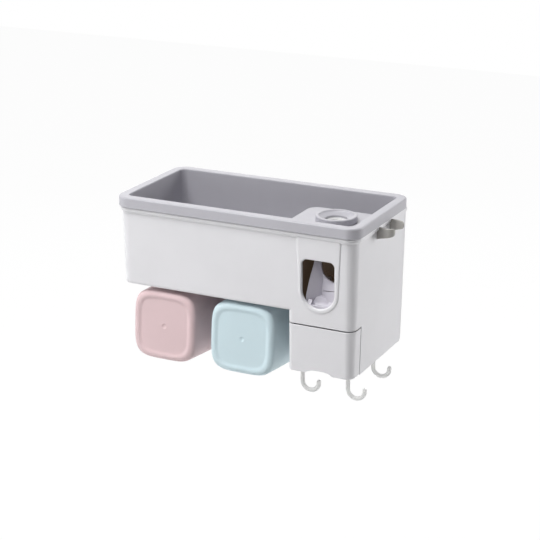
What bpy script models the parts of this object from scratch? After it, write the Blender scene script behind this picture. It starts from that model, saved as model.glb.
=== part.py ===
"""Wall-hung toothpaste dispenser with a storage tray, two cups, a drawer and swivel hooks.

Frame: the origin is the centre of the face that sticks to the wall. +X runs to the right as
seen from the room, -Y points into the room and +Z points up. All lengths are in metres.
"""
import math

import bmesh
import bpy
from mathutils import Matrix, Vector

# Overall body
RIM_WIDTH = 0.260
RIM_DEPTH = 0.1311
RIM_CORNER = 0.014
RIM_TOP_Z = 0.048
WALL_GAP = 0.0008
BAND_HEIGHT = 0.01025
RIM_TOP_WIDTH = 0.0097
RIM_THICKNESS = 0.002
RIM_CROWN = 0.0016
CROWN_RISE_SHARES = (0, 0.3, 0.7, 1)
CROWN_INSET_SHARES = (0, 0.04, 0.32, 0.85)
BODY_INSET = 0.0033
DRAFT_SHARE = 0.019
WALL = 0.0024
TUB_HEIGHT = 0.08975
TUB_EDGE = 0.0022
EDGE_SHARES = (1 / 2, 1 / 6, 0)
EDGE_RISE_SHARES = (0, 1 / 3, 1)
BEAD_HEIGHT = 0.0053
BEAD_PROUD = 0.0022
TOWER_WIDTH = 0.0681
TOWER_LENGTH = 0.06175
TOWER_LEFT_CORNER = 0.0045
SKIRT_HEIGHT = 0.01215
SEAM_GAP = 0.0008
WRAP_DEPTH = 0.0242
CLEAR = 0.0003
OVERRUN = 0.01
LAP = 0.00003

# Wall plate and the hanging studs
PAD_THICKNESS = 0.0008
PLATE_WIDTH = 0.150
PLATE_HEIGHT = 0.056
PLATE_THICKNESS = 0.003
PLATE_CORNER = 0.006
STUD_SPACING = 0.110
STUD_NECK_RADIUS = 0.0025
STUD_HEAD_RADIUS = 0.0044
STUD_HEAD_THICKNESS = 0.0012
KEYHOLE_RADIUS = 0.0049
KEYHOLE_TRAVEL = 0.011
KEYHOLE_END_SHARE = 0.98
PANEL_THICKNESS = 0.0024

# Storage tray
TRAY_WALL = 0.002
TRAY_FLOOR_GAP = 0.0006
WELL_CORNER = 0.009
PLATFORM_DROP = 0.008
PLATFORM_WIDTH = 0.0825
PLATFORM_DEPTH = 0.079
PLATFORM_CORNER = 0.010

# Tube collar, seal and the squeezer below it
DISPENSER_INSET = 0.0408
COLLAR_DEPTH = 0.0435
COLLAR_RADIUS = 0.0203
COLLAR_HEIGHT = 0.006
COLLAR_TAPER = 0.0008
COLLAR_LIP_SHARES = (1, 1.4, 2.2)
FUNNEL_THROAT_SHARE = 0.4
FUNNEL_LIP_SHARE = 0.35
FUNNEL_SHARE = 0.93
FUNNEL_RADIUS = 0.0168
COLLAR_BORE_RADIUS = 0.0108
COLLAR_NECK_RADIUS = 0.013
COLLAR_NECK_LENGTH = 0.0035
SEAL_INNER_RADIUS = 0.0062
SEAL_THICKNESS = 0.004
HOUSING_WIDTH = 0.046
HOUSING_REAR_GAP = 0.0032
HOUSING_WALL = 0.0018
HOUSING_TOP_DROP = 0.0145
HOUSING_FRONT = 0.0078

# Bezel and its window
BEZEL_THICKNESS = 0.0026
BEZEL_PROUD = 0.0007
BEZEL_TOP_HALF = 0.0226
BEZEL_HALF = 0.0202
BEZEL_RISE = 0.00165
WINDOW_HALF = 0.0161
WINDOW_TOP_GAP = 0.01975
WINDOW_RISE = 0.0041
WINDOW_CORNER = 0.005

# Push lever
LEVER_DEPTH = 0.0085
LEVER_PIVOT_DROP = 0.0235
LEVER_PIVOT_DEPTH = 0.0130
LEVER_HUB_RADIUS = 0.0042
LEVER_HUB_LENGTH = 0.024
LEVER_PIN_RADIUS = 0.0015
LEVER_THICKNESS = 0.0018
LEVER_NECK_HALF = 0.0046
LEVER_NECK_RISE = 0.0285
LEVER_FLARE_RISE = 0.0185
LEVER_WING_RISE = 0.006
LEVER_WING_HALF = 0.0145
LEVER_CREASE_SET = 0.007
LEVER_CREASE_SHARES = (0, 0, 0.3, 0.6, 0.85, 1, 1)
LEVER_NECK_SHARES = (0.9, 1, 1.35)
LEVER_FLARE_SHARE = 0.6
PUSHER_START_SHARE = 0.7
CRADLE_RISE = 0.0075
CRADLE_REACH = 0.008
PRONG_WIDTH = 0.0045
PRONG_HEIGHT = 0.006
PUSHER_HALF = 0.005
PUSHER_DEPTH = 0.0235
SPRING_WIRE_RADIUS = 0.00045
SPRING_RADIUS = 0.0034
SPRING_TURNS = 4
SPRING_STEPS = 10
SPRING_PITCH_SHARE = 2.6
SPRING_START_SHARE = 1.2

# Pump
PUMP_HALF = 0.0125
PUMP_DEPTH = 0.020
PUMP_FOOT = 0.0133
PUMP_BORE_RADIUS = 0.0075
PUMP_BORE_DEPTH = 0.014
PLUNGER_RISE = 0.015
PLUNGER_STEM_RADIUS = 0.003
PLUNGER_HEAD_RADIUS = 0.0071
PLUNGER_HEAD_LENGTH = 0.003
PLUNGER_GAP = 0.0005
NOSE_RADIUS_SHARES = (0.35, 0.8, 1)
NOSE_LENGTH_SHARES = (0, 0.25, 0.7)
NOZZLE_RADIUS = 0.0032
NOZZLE_BORE_RADIUS = 0.0016
NOZZLE_REACH = 0.007
NOZZLE_RISE = 0.0022
NOZZLE_LENGTH = 0.009
NOZZLE_TIP_SHARE = 1.5

# Drawer and its runners
DRAWER_WALL = 0.0018
DRAWER_FRONT_WALL = 0.0024
DRAWER_TOP_GAP = 0.0023
DRAWER_FLOOR_RISE = 0.0053
DRAWER_REAR_GAP = 0.022
DRAWER_FLANGE = 0.0024
DRAWER_FLANGE_THICKNESS = 0.0016
RUNNER_HEIGHT = 0.006
RUNNER_GAP = 0.0004
RUNNER_FRONT = 0.0262
RUNNER_REAR_GAP = 0.0164
NOTCH_HALF = 0.0128
NOTCH_HEIGHT = 0.0037
NOTCH_MOUTH_SHARE = 1.25
DRAWER_CORNER = 0.004
FLOOR_THICKNESS = 0.002
FLOOR_FRONT = 0.0095
SCALLOP_HALF = 0.0155
SCALLOP_DEPTH = 0.0215
SCALLOP_CORNER = 0.008
FLOOR_CORNER_SHARE = 1.6
TAB_WIDTH = 0.004
TAB_HEIGHT = 0.003

# Hooks below the tower
HOOK_WIRE_RADIUS = 0.0021
HOOK_BEND_RADIUS = 0.0086
HOOK_DROP = 0.0229
HOOK_TIP_RISE = 0.0032
HOOK_CAP_RADIUS = 0.0041
HOOK_CAP_HEIGHT = 0.0014
HOOK_FRONT_DEPTH = 0.0157
HOOK_REAR_GAP = 0.0476
HOOK_LEFT_GAP = 0.01121
HOOK_RIGHT_INSET = 0.014

# Side clip
CLIP_TOP_DROP = 0.0125
CLIP_HEIGHT = 0.0105
CLIP_TIP_HEIGHT = 0.0055
CLIP_THICKNESS = 0.0024
CLIP_REACH = 0.0175
CLIP_FRONT_DEPTH = 0.054
CLIP_REAR_DEPTH = 0.086
CLIP_TOE_IN = 0.0034
CLIP_FLARE = 0.0029
CLIP_REAR_LEAN = 0.0055
CLIP_CURL_SHARE = 0.34
CLIP_BOW_SHARE = 0.2
CLIP_BEND_SHARE = 0.5
CLIP_INNER_SHARE = 0.75
CLIP_LEAN_SHARE = 0.45
CLIP_END_SHARE = 0.45

# Cups and their seats
CUP_WIDTH = 0.069
CUP_HEIGHT = 0.0705
CUP_MOUTH_GAP = 0.0094
CUP_FLARE = 0.0026
CUP_WALL = 0.002
CUP_BASE = 0.0026
CUP_FILLET = 0.0055
CUP_RECESS = 0.0012
CUP_RECESS_INSET = 0.0075
CUP_RECESS_SHARE = 0.25
CUP_DOT_RADIUS = 0.0016
CUP_DOT_DEPTH = 0.0006
CUP_FACE_DEPTH = 0.004
CUP_TILT_DEG = 4.0
CUP_LEFT_INSET = 0.0507
CUP_PITCH = 0.0867
CUP_LEFT_GAP = 0.0043
CUP_RIGHT_GAP = 0.0034
CUP_SQUARENESS_SHARE = 4.2
SEAT_DEPTH = 0.008
SEAT_WALL = 0.002

# Screws
SCREW_RADIUS = 0.0011
SCREW_HEAD_RADIUS = 0.0024
SCREW_HEAD_HEIGHT = 0.0012
SCREW_LENGTH = 0.009
SCREW_HOLE_SHARE = 0.8
BOSS_RADIUS = 0.0032
BOSS_LENGTH = 0.012

ARC_STEPS = 7
ROUND_STEPS = 32
SMALL_STEPS = 14
CUP_STEPS = 48
FILLET_STEPS = 4
CLIP_STEPS = 4
SHARP_ANGLE_DEG = 30
MERGE = 0.000002
SPECK = 0.000001

FRONT_Y = -(WALL_GAP + RIM_DEPTH)
RIM_REAR_Y = -WALL_GAP
SHELL_REAR_Y = RIM_REAR_Y - BODY_INSET
PANEL_FRONT_Y = SHELL_REAR_Y - PANEL_THICKNESS
BAND_Z = RIM_TOP_Z - BAND_HEIGHT
FLOOR_Z = RIM_TOP_Z - TUB_HEIGHT
TOWER_Z = FLOOR_Z - TOWER_LENGTH
SEAM_Z = FLOOR_Z - SKIRT_HEIGHT
HALF_WIDTH = RIM_WIDTH / 2
DISPENSER_X = HALF_WIDTH - DISPENSER_INSET
BEZEL_Z = FLOOR_Z + BEZEL_RISE
WINDOW_Z = BEZEL_Z + WINDOW_RISE
BEAD_Z = BAND_Z - CLEAR - BEAD_HEIGHT
BEZEL_TOP_Z = BEAD_Z - 2 * CLEAR
WINDOW_TOP_Z = BEZEL_TOP_Z - WINDOW_TOP_GAP
CRADLE_Z = WINDOW_Z + CRADLE_RISE
PLUNGER_Z = CRADLE_Z + PLUNGER_RISE
HOUSING_TOP_Z = RIM_TOP_Z - HOUSING_TOP_DROP
HOUSING_DEPTH = PLATFORM_DEPTH - TRAY_WALL - HOUSING_REAR_GAP - HOUSING_FRONT
HOUSING_FLOOR_Z = FLOOR_Z + WALL + CLEAR
PUMP_FRONT = COLLAR_DEPTH - PUMP_DEPTH / 2
DRAWER_TOP_Z = SEAM_Z - DRAWER_TOP_GAP
DRAWER_FLOOR_Z = TOWER_Z + DRAWER_FLOOR_RISE
DRAWER_REAR_Y = PANEL_FRONT_Y - DRAWER_REAR_GAP
RUNNER_REAR_Y = PANEL_FRONT_Y - RUNNER_REAR_GAP
CUP_LENGTH = PANEL_FRONT_Y - CUP_MOUTH_GAP - FRONT_Y - CUP_FACE_DEPTH
CUP_Z = FLOOR_Z - CUP_HEIGHT / 2


def at_depth(depth):
    """World Y of a place measured back from the front of the rim."""
    return FRONT_Y + depth


def at_drop(drop):
    """World Z of a place measured down from the top of the rim."""
    return RIM_TOP_Z - drop


def body_inset(z):
    """Inset of the drafted body wall from the rim's outer face at height z."""
    return BODY_INSET + DRAFT_SHARE * max(BAND_Z - z, 0)


TOWER_LEFT = HALF_WIDTH - body_inset(FLOOR_Z) - TOWER_WIDTH


def rounded(corners, steps=ARC_STEPS):
    """Closed outline through (x, y, radius) corners, each turned into an arc."""
    points = []
    count = len(corners)
    for index, (x, y, radius) in enumerate(corners):
        here = Vector((x, y))
        before = (Vector(corners[index - 1][:2]) - here).normalized()
        after = (Vector(corners[(index + 1) % count][:2]) - here).normalized()
        if radius <= 0:
            points.append((x, y))
            continue
        half = before.angle(after) / 2
        centre = here + (before + after).normalized() * (radius / math.sin(half))
        start = here + before * (radius / math.tan(half)) - centre
        end = here + after * (radius / math.tan(half)) - centre
        sweep = start.angle_signed(end)
        for step in range(steps + 1):
            angle = -sweep * step / steps
            turned = Matrix.Rotation(angle, 2) @ start
            points.append(tuple(centre + turned))
    return points


def rectangle(left, right, front, rear, front_radius, rear_radius=None):
    """Rounded rectangle, counter-clockwise from its front left corner."""
    rear_radius = front_radius if rear_radius is None else rear_radius
    return rounded([(left, front, front_radius), (right, front, front_radius),
                    (right, rear, rear_radius), (left, rear, rear_radius)])


def circle(radius, steps=ROUND_STEPS):
    """Unclosed list of points round a circle."""
    return [(radius * math.cos(math.tau * k / steps), radius * math.sin(math.tau * k / steps))
            for k in range(steps)]


def squircle(half_width, half_height, steps=CUP_STEPS):
    """Square outline with bulging sides and generous corners."""
    power = 2 / CUP_SQUARENESS_SHARE
    points = []
    for k in range(steps):
        angle = math.tau * k / steps
        across, up = math.cos(angle), math.sin(angle)
        points.append((half_width * math.copysign(abs(across) ** power, across),
                       half_height * math.copysign(abs(up) ** power, up)))
    return points


def principled(name, colour, roughness, metallic=0.0, alpha=1.0):
    """Plain moulded or metal finish."""
    material = bpy.data.materials.new(name)
    material.use_nodes = True
    shader = material.node_tree.nodes["Principled BSDF"]
    shader.inputs["Base Color"].default_value = (*colour, 1.0)
    shader.inputs["Roughness"].default_value = roughness
    shader.inputs["Metallic"].default_value = metallic
    shader.inputs["Alpha"].default_value = alpha
    material.diffuse_color = (*colour, 1.0)
    return material


def loft(name, rings):
    """Closed solid through rings of equal point count, capped at both ends."""
    mesh = bmesh.new()
    loops = [[mesh.verts.new(point) for point in ring] for ring in rings]
    count = len(loops[0])
    for lower, upper in zip(loops, loops[1:]):
        for k in range(count):
            mesh.faces.new((lower[k], lower[(k + 1) % count], upper[(k + 1) % count], upper[k]))
    mesh.faces.new(list(reversed(loops[0])))
    mesh.faces.new(loops[-1])
    bmesh.ops.recalc_face_normals(mesh, faces=mesh.faces)
    data = bpy.data.meshes.new(name)
    mesh.to_mesh(data)
    mesh.free()
    solid = bpy.data.objects.new(name, data)
    bpy.context.collection.objects.link(solid)
    return solid


def upright(name, levels):
    """Solid from (z, outline in X and Y) levels."""
    return loft(name, [[(x, y, z) for x, y in outline] for z, outline in levels])


def facing(name, levels):
    """Solid from (y, outline in X and Z) levels."""
    return loft(name, [[(x, y, z) for x, z in outline] for y, outline in levels])


def block(name, low, high):
    """Square-edged box between two corners."""
    outline = [(low[0], low[1]), (high[0], low[1]), (high[0], high[1]), (low[0], high[1])]
    return upright(name, [(low[2], outline), (high[2], outline)])


def rod(name, start, end, radius, steps=SMALL_STEPS, end_radius=None):
    """Round bar or cone from start to end."""
    start, end = Vector(start), Vector(end)
    turn = (end - start).to_track_quat("Z", "Y").to_matrix()
    end_radius = radius if end_radius is None else end_radius
    rings = []
    for place, size in ((start, radius), (end, end_radius)):
        rings.append([tuple(place + turn @ Vector((x, y, 0))) for x, y in circle(size, steps)])
    return loft(name, rings)


def turned(name, centre, profile, steps=ROUND_STEPS):
    """Solid turned about a vertical axis from (radius, z) levels."""
    rings = [[(centre[0] + x, centre[1] + y, z) for x, y in circle(radius, steps)]
             for radius, z in profile]
    return loft(name, rings)


def combine(target, other, operation):
    """Join or cut two solids and drop the second one."""
    modifier = target.modifiers.new(operation.title(), "BOOLEAN")
    modifier.object = other
    modifier.operation = operation
    modifier.solver = "EXACT"
    graph = bpy.context.evaluated_depsgraph_get()
    result = bpy.data.meshes.new_from_object(target.evaluated_get(graph))
    target.modifiers.clear()
    target.data = result
    bpy.data.objects.remove(other)
    return target


def add(target, *others):
    """Union of a solid with others."""
    for other in others:
        combine(target, other, "UNION")
    return target


def cut(target, *others):
    """Solid less the others."""
    for other in others:
        combine(target, other, "DIFFERENCE")
    return target


def finish(solid, material, origin=None):
    """Shade a finished piece, give it its material and set its origin."""
    mesh = bmesh.new()
    mesh.from_mesh(solid.data)
    bmesh.ops.remove_doubles(mesh, verts=mesh.verts, dist=MERGE)
    bmesh.ops.dissolve_degenerate(mesh, edges=mesh.edges, dist=SPECK)
    mesh.to_mesh(solid.data)
    mesh.free()
    solid.data.materials.clear()
    solid.data.materials.append(material)
    solid.data.shade_smooth()
    solid.data.set_sharp_from_angle(angle=math.radians(SHARP_ANGLE_DEG))
    if origin is not None:
        solid.data.transform(Matrix.Translation(-Vector(origin)))
        solid.location = origin
    return solid


def body_outline(z, extra=0.0, rear=PANEL_FRONT_Y - CLEAR):
    """Outline of the white body at height z, set in by extra."""
    inset = body_inset(z) + extra
    radius = RIM_CORNER - inset
    return rectangle(-HALF_WIDTH + inset, HALF_WIDTH - inset, FRONT_Y + inset, rear, radius, 0)


def tower_outline(z, extra=0.0, rear=PANEL_FRONT_Y - CLEAR):
    """Outline of the tower at height z, set in by extra."""
    inset = body_inset(z) + extra
    radius = RIM_CORNER - inset
    return rounded([(TOWER_LEFT + extra, FRONT_Y + inset, max(TOWER_LEFT_CORNER - extra, CLEAR)),
                    (HALF_WIDTH - inset, FRONT_Y + inset, radius),
                    (HALF_WIDTH - inset, rear, 0), (TOWER_LEFT + extra, rear, 0)])


def bezel_outline(half_top, half, bottom_z, top_z):
    """U-shaped outline in X and Z, straight at the top and round at the bottom."""
    centre_z = bottom_z + half
    points = [(DISPENSER_X + half_top, top_z), (DISPENSER_X - half_top, top_z)]
    for step in range(2 * ARC_STEPS + 1):
        angle = math.pi + math.pi * step / (2 * ARC_STEPS)
        points.append((DISPENSER_X + half * math.cos(angle), centre_z + half * math.sin(angle)))
    return points


def window_outline(grow=0.0):
    """Outline of the brush window, round at the bottom."""
    half = WINDOW_HALF + grow
    centre_z = WINDOW_Z + WINDOW_HALF
    top_z = WINDOW_TOP_Z + grow
    top = rounded([(DISPENSER_X + half, centre_z, 0), (DISPENSER_X + half, top_z, WINDOW_CORNER + grow),
                   (DISPENSER_X - half, top_z, WINDOW_CORNER + grow), (DISPENSER_X - half, centre_z, 0)])
    for step in range(1, 2 * ARC_STEPS):
        angle = math.pi + math.pi * step / (2 * ARC_STEPS)
        top.append((DISPENSER_X + half * math.cos(angle), centre_z + half * math.sin(angle)))
    return top


def along_front(name, outlines):
    """Solid whose (set-back, outline in X and Z) levels lie along the drafted front wall."""
    return loft(name, [[(x, FRONT_Y + body_inset(z) + back, z) for x, z in outline]
                       for back, outline in outlines])


def boss_places():
    """X and Z of the screws that hold the back panel, each boss sunk a little into its wall."""
    reach = BOSS_RADIUS - CLEAR
    under_floor = FLOOR_Z - reach
    low = TOWER_Z + FLOOR_THICKNESS + 2 * BOSS_RADIUS
    right = HALF_WIDTH - body_inset(TOWER_Z) - WALL - reach
    cup_x = -HALF_WIDTH + CUP_LEFT_INSET
    return [(-HALF_WIDTH + body_inset(FLOOR_Z) + WALL + reach, under_floor),
            (cup_x + CUP_PITCH / 2, under_floor), (TOWER_LEFT + WALL + reach, low), (right, low)]


def outside_rim_channel():
    """Everything beyond the inside of the tray's hanging band, above its lower edge."""
    low, high = BAND_Z - CLEAR / 2, RIM_TOP_Z + OVERRUN
    ring = upright("ring", [(z, rim_outline(-OVERRUN)) for z in (low, high)])
    inner = RIM_THICKNESS + CLEAR
    return cut(ring, upright("core", [(z, rim_outline(inner)) for z in (low - OVERRUN, high + OVERRUN)]))


def body_shell(white):
    """White casing: drafted tub, bead below the rim, tower, floor and screw bosses."""
    channel_z = RIM_TOP_Z - RIM_THICKNESS - 2 * CLEAR
    bead_top = BAND_Z - CLEAR
    edge = [(FLOOR_Z + TUB_EDGE * rise, body_outline(FLOOR_Z + TUB_EDGE * rise, TUB_EDGE * inset))
            for rise, inset in zip(EDGE_RISE_SHARES, EDGE_SHARES)]
    shell = upright("body_shell", [
        *edge,
        (BEAD_Z, body_outline(BEAD_Z)),
        (BEAD_Z + BEAD_HEIGHT / 5, body_outline(BEAD_Z, -BEAD_PROUD / 2)),
        (bead_top - BEAD_HEIGHT / 5, body_outline(bead_top, -BEAD_PROUD)),
        (bead_top - CLEAR, body_outline(bead_top, -BEAD_PROUD + CLEAR)),
        (bead_top, body_outline(bead_top)),
        (channel_z, body_outline(channel_z)),
    ])
    tower_top = FLOOR_Z + TUB_EDGE + LAP
    add(shell, upright("tower", [(TOWER_Z, tower_outline(TOWER_Z, -LAP, PANEL_FRONT_Y - CLEAR - LAP)),
                                 (tower_top, tower_outline(tower_top, -LAP, PANEL_FRONT_Y - CLEAR - LAP))]))
    floor_top = FLOOR_Z + WALL
    behind = PANEL_FRONT_Y + OVERRUN
    cut(shell,
        upright("inside", [(floor_top, body_outline(floor_top, WALL, behind)),
                           (channel_z + OVERRUN, body_outline(channel_z, WALL, behind))]),
        upright("below", [(TOWER_Z - OVERRUN, tower_outline(TOWER_Z, WALL, behind)),
                          (FLOOR_Z, tower_outline(FLOOR_Z, WALL, behind))]),
        block("drawer_mouth", (TOWER_LEFT - OVERRUN, FRONT_Y, TOWER_Z - OVERRUN),
              (HALF_WIDTH, at_depth(WRAP_DEPTH) + 2 * CLEAR, SEAM_Z)))
    mouth_top = BEAD_Z - CLEAR
    mouth = bezel_outline(BEZEL_TOP_HALF + CLEAR, BEZEL_HALF + CLEAR, BEZEL_Z - CLEAR, mouth_top)
    cut(shell, along_front("bezel_mouth", [(-OVERRUN, mouth), (WALL + OVERRUN, mouth)]))
    rear = PANEL_FRONT_Y - CLEAR - LAP
    for x, z in boss_places():
        section = [(x + u, z + v) for u, v in circle(BOSS_RADIUS, SMALL_STEPS)]
        add(shell, facing("boss", [(rear - BOSS_LENGTH, section), (rear, section)]))
        top_or_side = (BOSS_RADIUS + WALL / 2) * (1 if z > SEAM_Z else 0)
        side = BOSS_RADIUS * (0 if z > SEAM_Z else (1 if x > DISPENSER_X else -1))
        rib = block("rib", (min(x, x + side) - WALL / 4, rear - BOSS_LENGTH, z - WALL / 4),
                    (max(x, x + side) + WALL / 4, rear - LAP, z + WALL / 4 + top_or_side))
        rib.data.transform(Matrix.Translation((side / BOSS_RADIUS * WALL / 2, 0, 0)))
        add(shell, rib)
    for x, z in boss_places():
        hole = SCREW_RADIUS + CLEAR
        cut(shell, rod("hole", (x, rear - SCREW_LENGTH, z), (x, rear + OVERRUN, z), hole))
    cut(shell, outside_rim_channel())
    for x, y in housing_screw_places():
        cut(shell, rod("hole", (x, y, FLOOR_Z - OVERRUN), (x, y, floor_top + OVERRUN), SCREW_RADIUS + CLEAR))
    for x, y in floor_screw_places():
        plate_top = TOWER_Z + FLOOR_THICKNESS
        pillar = block("pillar", (x - BOSS_RADIUS, y - BOSS_RADIUS, plate_top + CLEAR),
                       (x + BOSS_RADIUS, y + BOSS_RADIUS, plate_top + SCREW_LENGTH))
        wall_side = 1 if x > DISPENSER_X else -1
        pillar.data.transform(Matrix.Translation((wall_side * WALL / 2, 0, 0)))
        add(shell, pillar)
        hole_top = plate_top + SCREW_LENGTH * SCREW_HOLE_SHARE
        cut(shell, rod("hole", (x, y, TOWER_Z - OVERRUN), (x, y, hole_top), SCREW_RADIUS + CLEAR))
    return finish(shell, white)


def housing_screw_places():
    """X and Y of the two screws that hold the squeezer housing to the floor."""
    y = at_depth(HOUSING_FRONT + HOUSING_DEPTH / 2)
    reach = HOUSING_WIDTH / 2 - HOUSING_WALL - 2 * SCREW_HEAD_RADIUS
    return [(DISPENSER_X - reach, y), (DISPENSER_X + reach, y)]


def floor_screw_places():
    """X and Y of the two screws that hold the tower's floor."""
    y = PANEL_FRONT_Y - BOSS_LENGTH - 2 * BOSS_RADIUS
    left = TOWER_LEFT + WALL + BOSS_RADIUS
    right = HALF_WIDTH - body_inset(TOWER_Z) - WALL - BOSS_RADIUS
    return [(left, y), (right, y)]


def back_panel(white):
    """Flat back with wings behind the cups and two keyholes for the wall studs."""
    top = RIM_TOP_Z - RIM_THICKNESS - 2 * CLEAR
    edge = HALF_WIDTH - BODY_INSET
    low_edge = HALF_WIDTH - body_inset(TOWER_Z)
    left = -low_edge
    outline = rounded([(left, TOWER_Z, TUB_EDGE * 3), (low_edge, TOWER_Z, TUB_EDGE),
                       (edge, BAND_Z, 0), (edge, top, TUB_EDGE), (-edge, top, TUB_EDGE), (-edge, BAND_Z, 0)])
    panel = facing("back_panel", [(PANEL_FRONT_Y, outline), (SHELL_REAR_Y, outline)])
    cut(panel, outside_rim_channel())
    for side in (-1, 1):
        x = side * STUD_SPACING / 2
        through = (PANEL_FRONT_Y - OVERRUN, SHELL_REAR_Y + OVERRUN)
        cut(panel, rod("entry", (x, through[0], -KEYHOLE_TRAVEL), (x, through[1], -KEYHOLE_TRAVEL),
                       KEYHOLE_RADIUS, ROUND_STEPS))
        half = STUD_NECK_RADIUS + CLEAR
        turn = half * KEYHOLE_END_SHARE
        slot = rounded([(x - half, -KEYHOLE_TRAVEL, 0), (x + half, -KEYHOLE_TRAVEL, 0),
                        (x + half, half, turn), (x - half, half, turn)])
        cut(panel, facing("slot", [(y, slot) for y in through]))
    for x, z in boss_places():
        cut(panel, rod("hole", (x, PANEL_FRONT_Y - OVERRUN, z), (x, SHELL_REAR_Y + OVERRUN, z),
                       SCREW_RADIUS + CLEAR))
        sink = SHELL_REAR_Y - SCREW_HEAD_HEIGHT - 2 * CLEAR
        cut(panel, rod("sink", (x, sink, z), (x, SHELL_REAR_Y + OVERRUN, z), SCREW_HEAD_RADIUS + CLEAR))
    return finish(panel, white)


def screw(name, head, direction, steel):
    """Pan-head screw from the outer face of its head along direction."""
    head, direction = Vector(head), Vector(direction)
    under = head + direction * SCREW_HEAD_HEIGHT
    solid = rod(name, head, under, SCREW_HEAD_RADIUS)
    end = under + direction * (SCREW_LENGTH - SCREW_HEAD_HEIGHT)
    return finish(add(solid, rod("shank", under - direction * CLEAR, end, SCREW_RADIUS)), steel)


def wall_plate(white):
    """Plate that sticks to the wall, with two headed studs."""
    half_w, half_h = PLATE_WIDTH / 2, PLATE_HEIGHT / 2
    outline = rounded([(-half_w, -half_h, PLATE_CORNER), (half_w, -half_h, PLATE_CORNER),
                       (half_w, half_h, PLATE_CORNER), (-half_w, half_h, PLATE_CORNER)])
    front = -PAD_THICKNESS - PLATE_THICKNESS
    plate = facing("wall_plate", [(front, outline), (-PAD_THICKNESS, outline)])
    for side in (-1, 1):
        x = side * STUD_SPACING / 2
        head_y = PANEL_FRONT_Y - CLEAR
        add(plate, rod("neck", (x, front + PLATE_THICKNESS / 2, 0), (x, head_y - STUD_HEAD_THICKNESS / 2, 0),
                       STUD_NECK_RADIUS))
        add(plate, rod("head", (x, head_y, 0), (x, head_y - STUD_HEAD_THICKNESS, 0), STUD_HEAD_RADIUS,
                       ROUND_STEPS))
    return finish(plate, white)


def adhesive_pad(clear):
    """Sticky sheet between the plate and the wall."""
    half_w, half_h = PLATE_WIDTH / 2, PLATE_HEIGHT / 2
    outline = rounded([(-half_w, -half_h, PLATE_CORNER), (half_w, -half_h, PLATE_CORNER),
                       (half_w, half_h, PLATE_CORNER), (-half_w, half_h, PLATE_CORNER)])
    return finish(facing("adhesive_pad", [(-PAD_THICKNESS + CLEAR, outline), (0, outline)]), clear)


def rim_outline(inset):
    """Outline of the rim set in by inset on every side."""
    return rectangle(-HALF_WIDTH + inset, HALF_WIDTH - inset, FRONT_Y + inset, RIM_REAR_Y - inset,
                     max(RIM_CORNER - inset, WELL_CORNER * inset / RIM_TOP_WIDTH))


def well_outline(grow):
    """L-shaped outline of the well, which passes left of and behind the platform."""
    left = -HALF_WIDTH + RIM_TOP_WIDTH - grow
    right = HALF_WIDTH - RIM_TOP_WIDTH + grow
    front = FRONT_Y + RIM_TOP_WIDTH - grow
    rear = RIM_REAR_Y - RIM_TOP_WIDTH + grow
    step_x = HALF_WIDTH - PLATFORM_WIDTH + grow
    step_y = at_depth(PLATFORM_DEPTH) - grow
    radius = WELL_CORNER + grow
    return rounded([(left, front, radius), (step_x, front, TUB_EDGE + grow),
                    (step_x, step_y, PLATFORM_CORNER - grow), (right, step_y, TUB_EDGE + grow),
                    (right, rear, radius), (left, rear, radius)])


def storage_tray(grey):
    """Grey tray: a rim that hangs over the body, an L-shaped well and a platform."""
    top = [(RIM_TOP_Z - RIM_CROWN * (1 - rise), rim_outline(RIM_CROWN * inset))
           for rise, inset in zip(CROWN_RISE_SHARES, CROWN_INSET_SHARES)]
    tray = upright("storage_tray", [(BAND_Z, rim_outline(0)), *top])
    cut(tray, upright("channel", [(BAND_Z - OVERRUN, rim_outline(RIM_THICKNESS)),
                                  (RIM_TOP_Z - RIM_THICKNESS, rim_outline(RIM_THICKNESS))]))
    tub_bottom = FLOOR_Z + WALL + TRAY_FLOOR_GAP
    add(tray, upright("tub", [(tub_bottom, well_outline(TRAY_WALL)),
                              (RIM_TOP_Z - RIM_THICKNESS / 2, well_outline(TRAY_WALL))]))
    platform_z = at_drop(PLATFORM_DROP)
    inner = RIM_TOP_WIDTH - TRAY_WALL
    deck = rounded([(HALF_WIDTH - PLATFORM_WIDTH + TRAY_WALL, FRONT_Y + inner, 0),
                    (HALF_WIDTH - inner, FRONT_Y + inner, WELL_CORNER + TRAY_WALL),
                    (HALF_WIDTH - inner, at_depth(PLATFORM_DEPTH) - TRAY_WALL / 2, 0),
                    (HALF_WIDTH - PLATFORM_WIDTH + TRAY_WALL, at_depth(PLATFORM_DEPTH) - TRAY_WALL / 2, 0)])
    add(tray, upright("deck", [(platform_z - TRAY_WALL, deck), (RIM_TOP_Z - RIM_THICKNESS / 2, deck)]))
    cut(tray, upright("well", [(tub_bottom + TRAY_WALL, well_outline(0)),
                               (RIM_TOP_Z + OVERRUN, well_outline(0))]))
    over = RIM_TOP_WIDTH
    lip = rim_outline(over - RIM_CROWN / 2)
    cut(tray, upright("recess", [(platform_z, rim_outline(over)), (RIM_TOP_Z - RIM_CROWN, rim_outline(over)),
                                 (RIM_TOP_Z, lip), (RIM_TOP_Z + OVERRUN, lip)]))
    centre = (DISPENSER_X, at_depth(COLLAR_DEPTH))
    cut(tray, turned("bore", centre, [(COLLAR_NECK_RADIUS + CLEAR, platform_z - OVERRUN),
                                      (COLLAR_NECK_RADIUS + CLEAR, platform_z + OVERRUN / 2)]))
    return finish(tray, grey)


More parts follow.
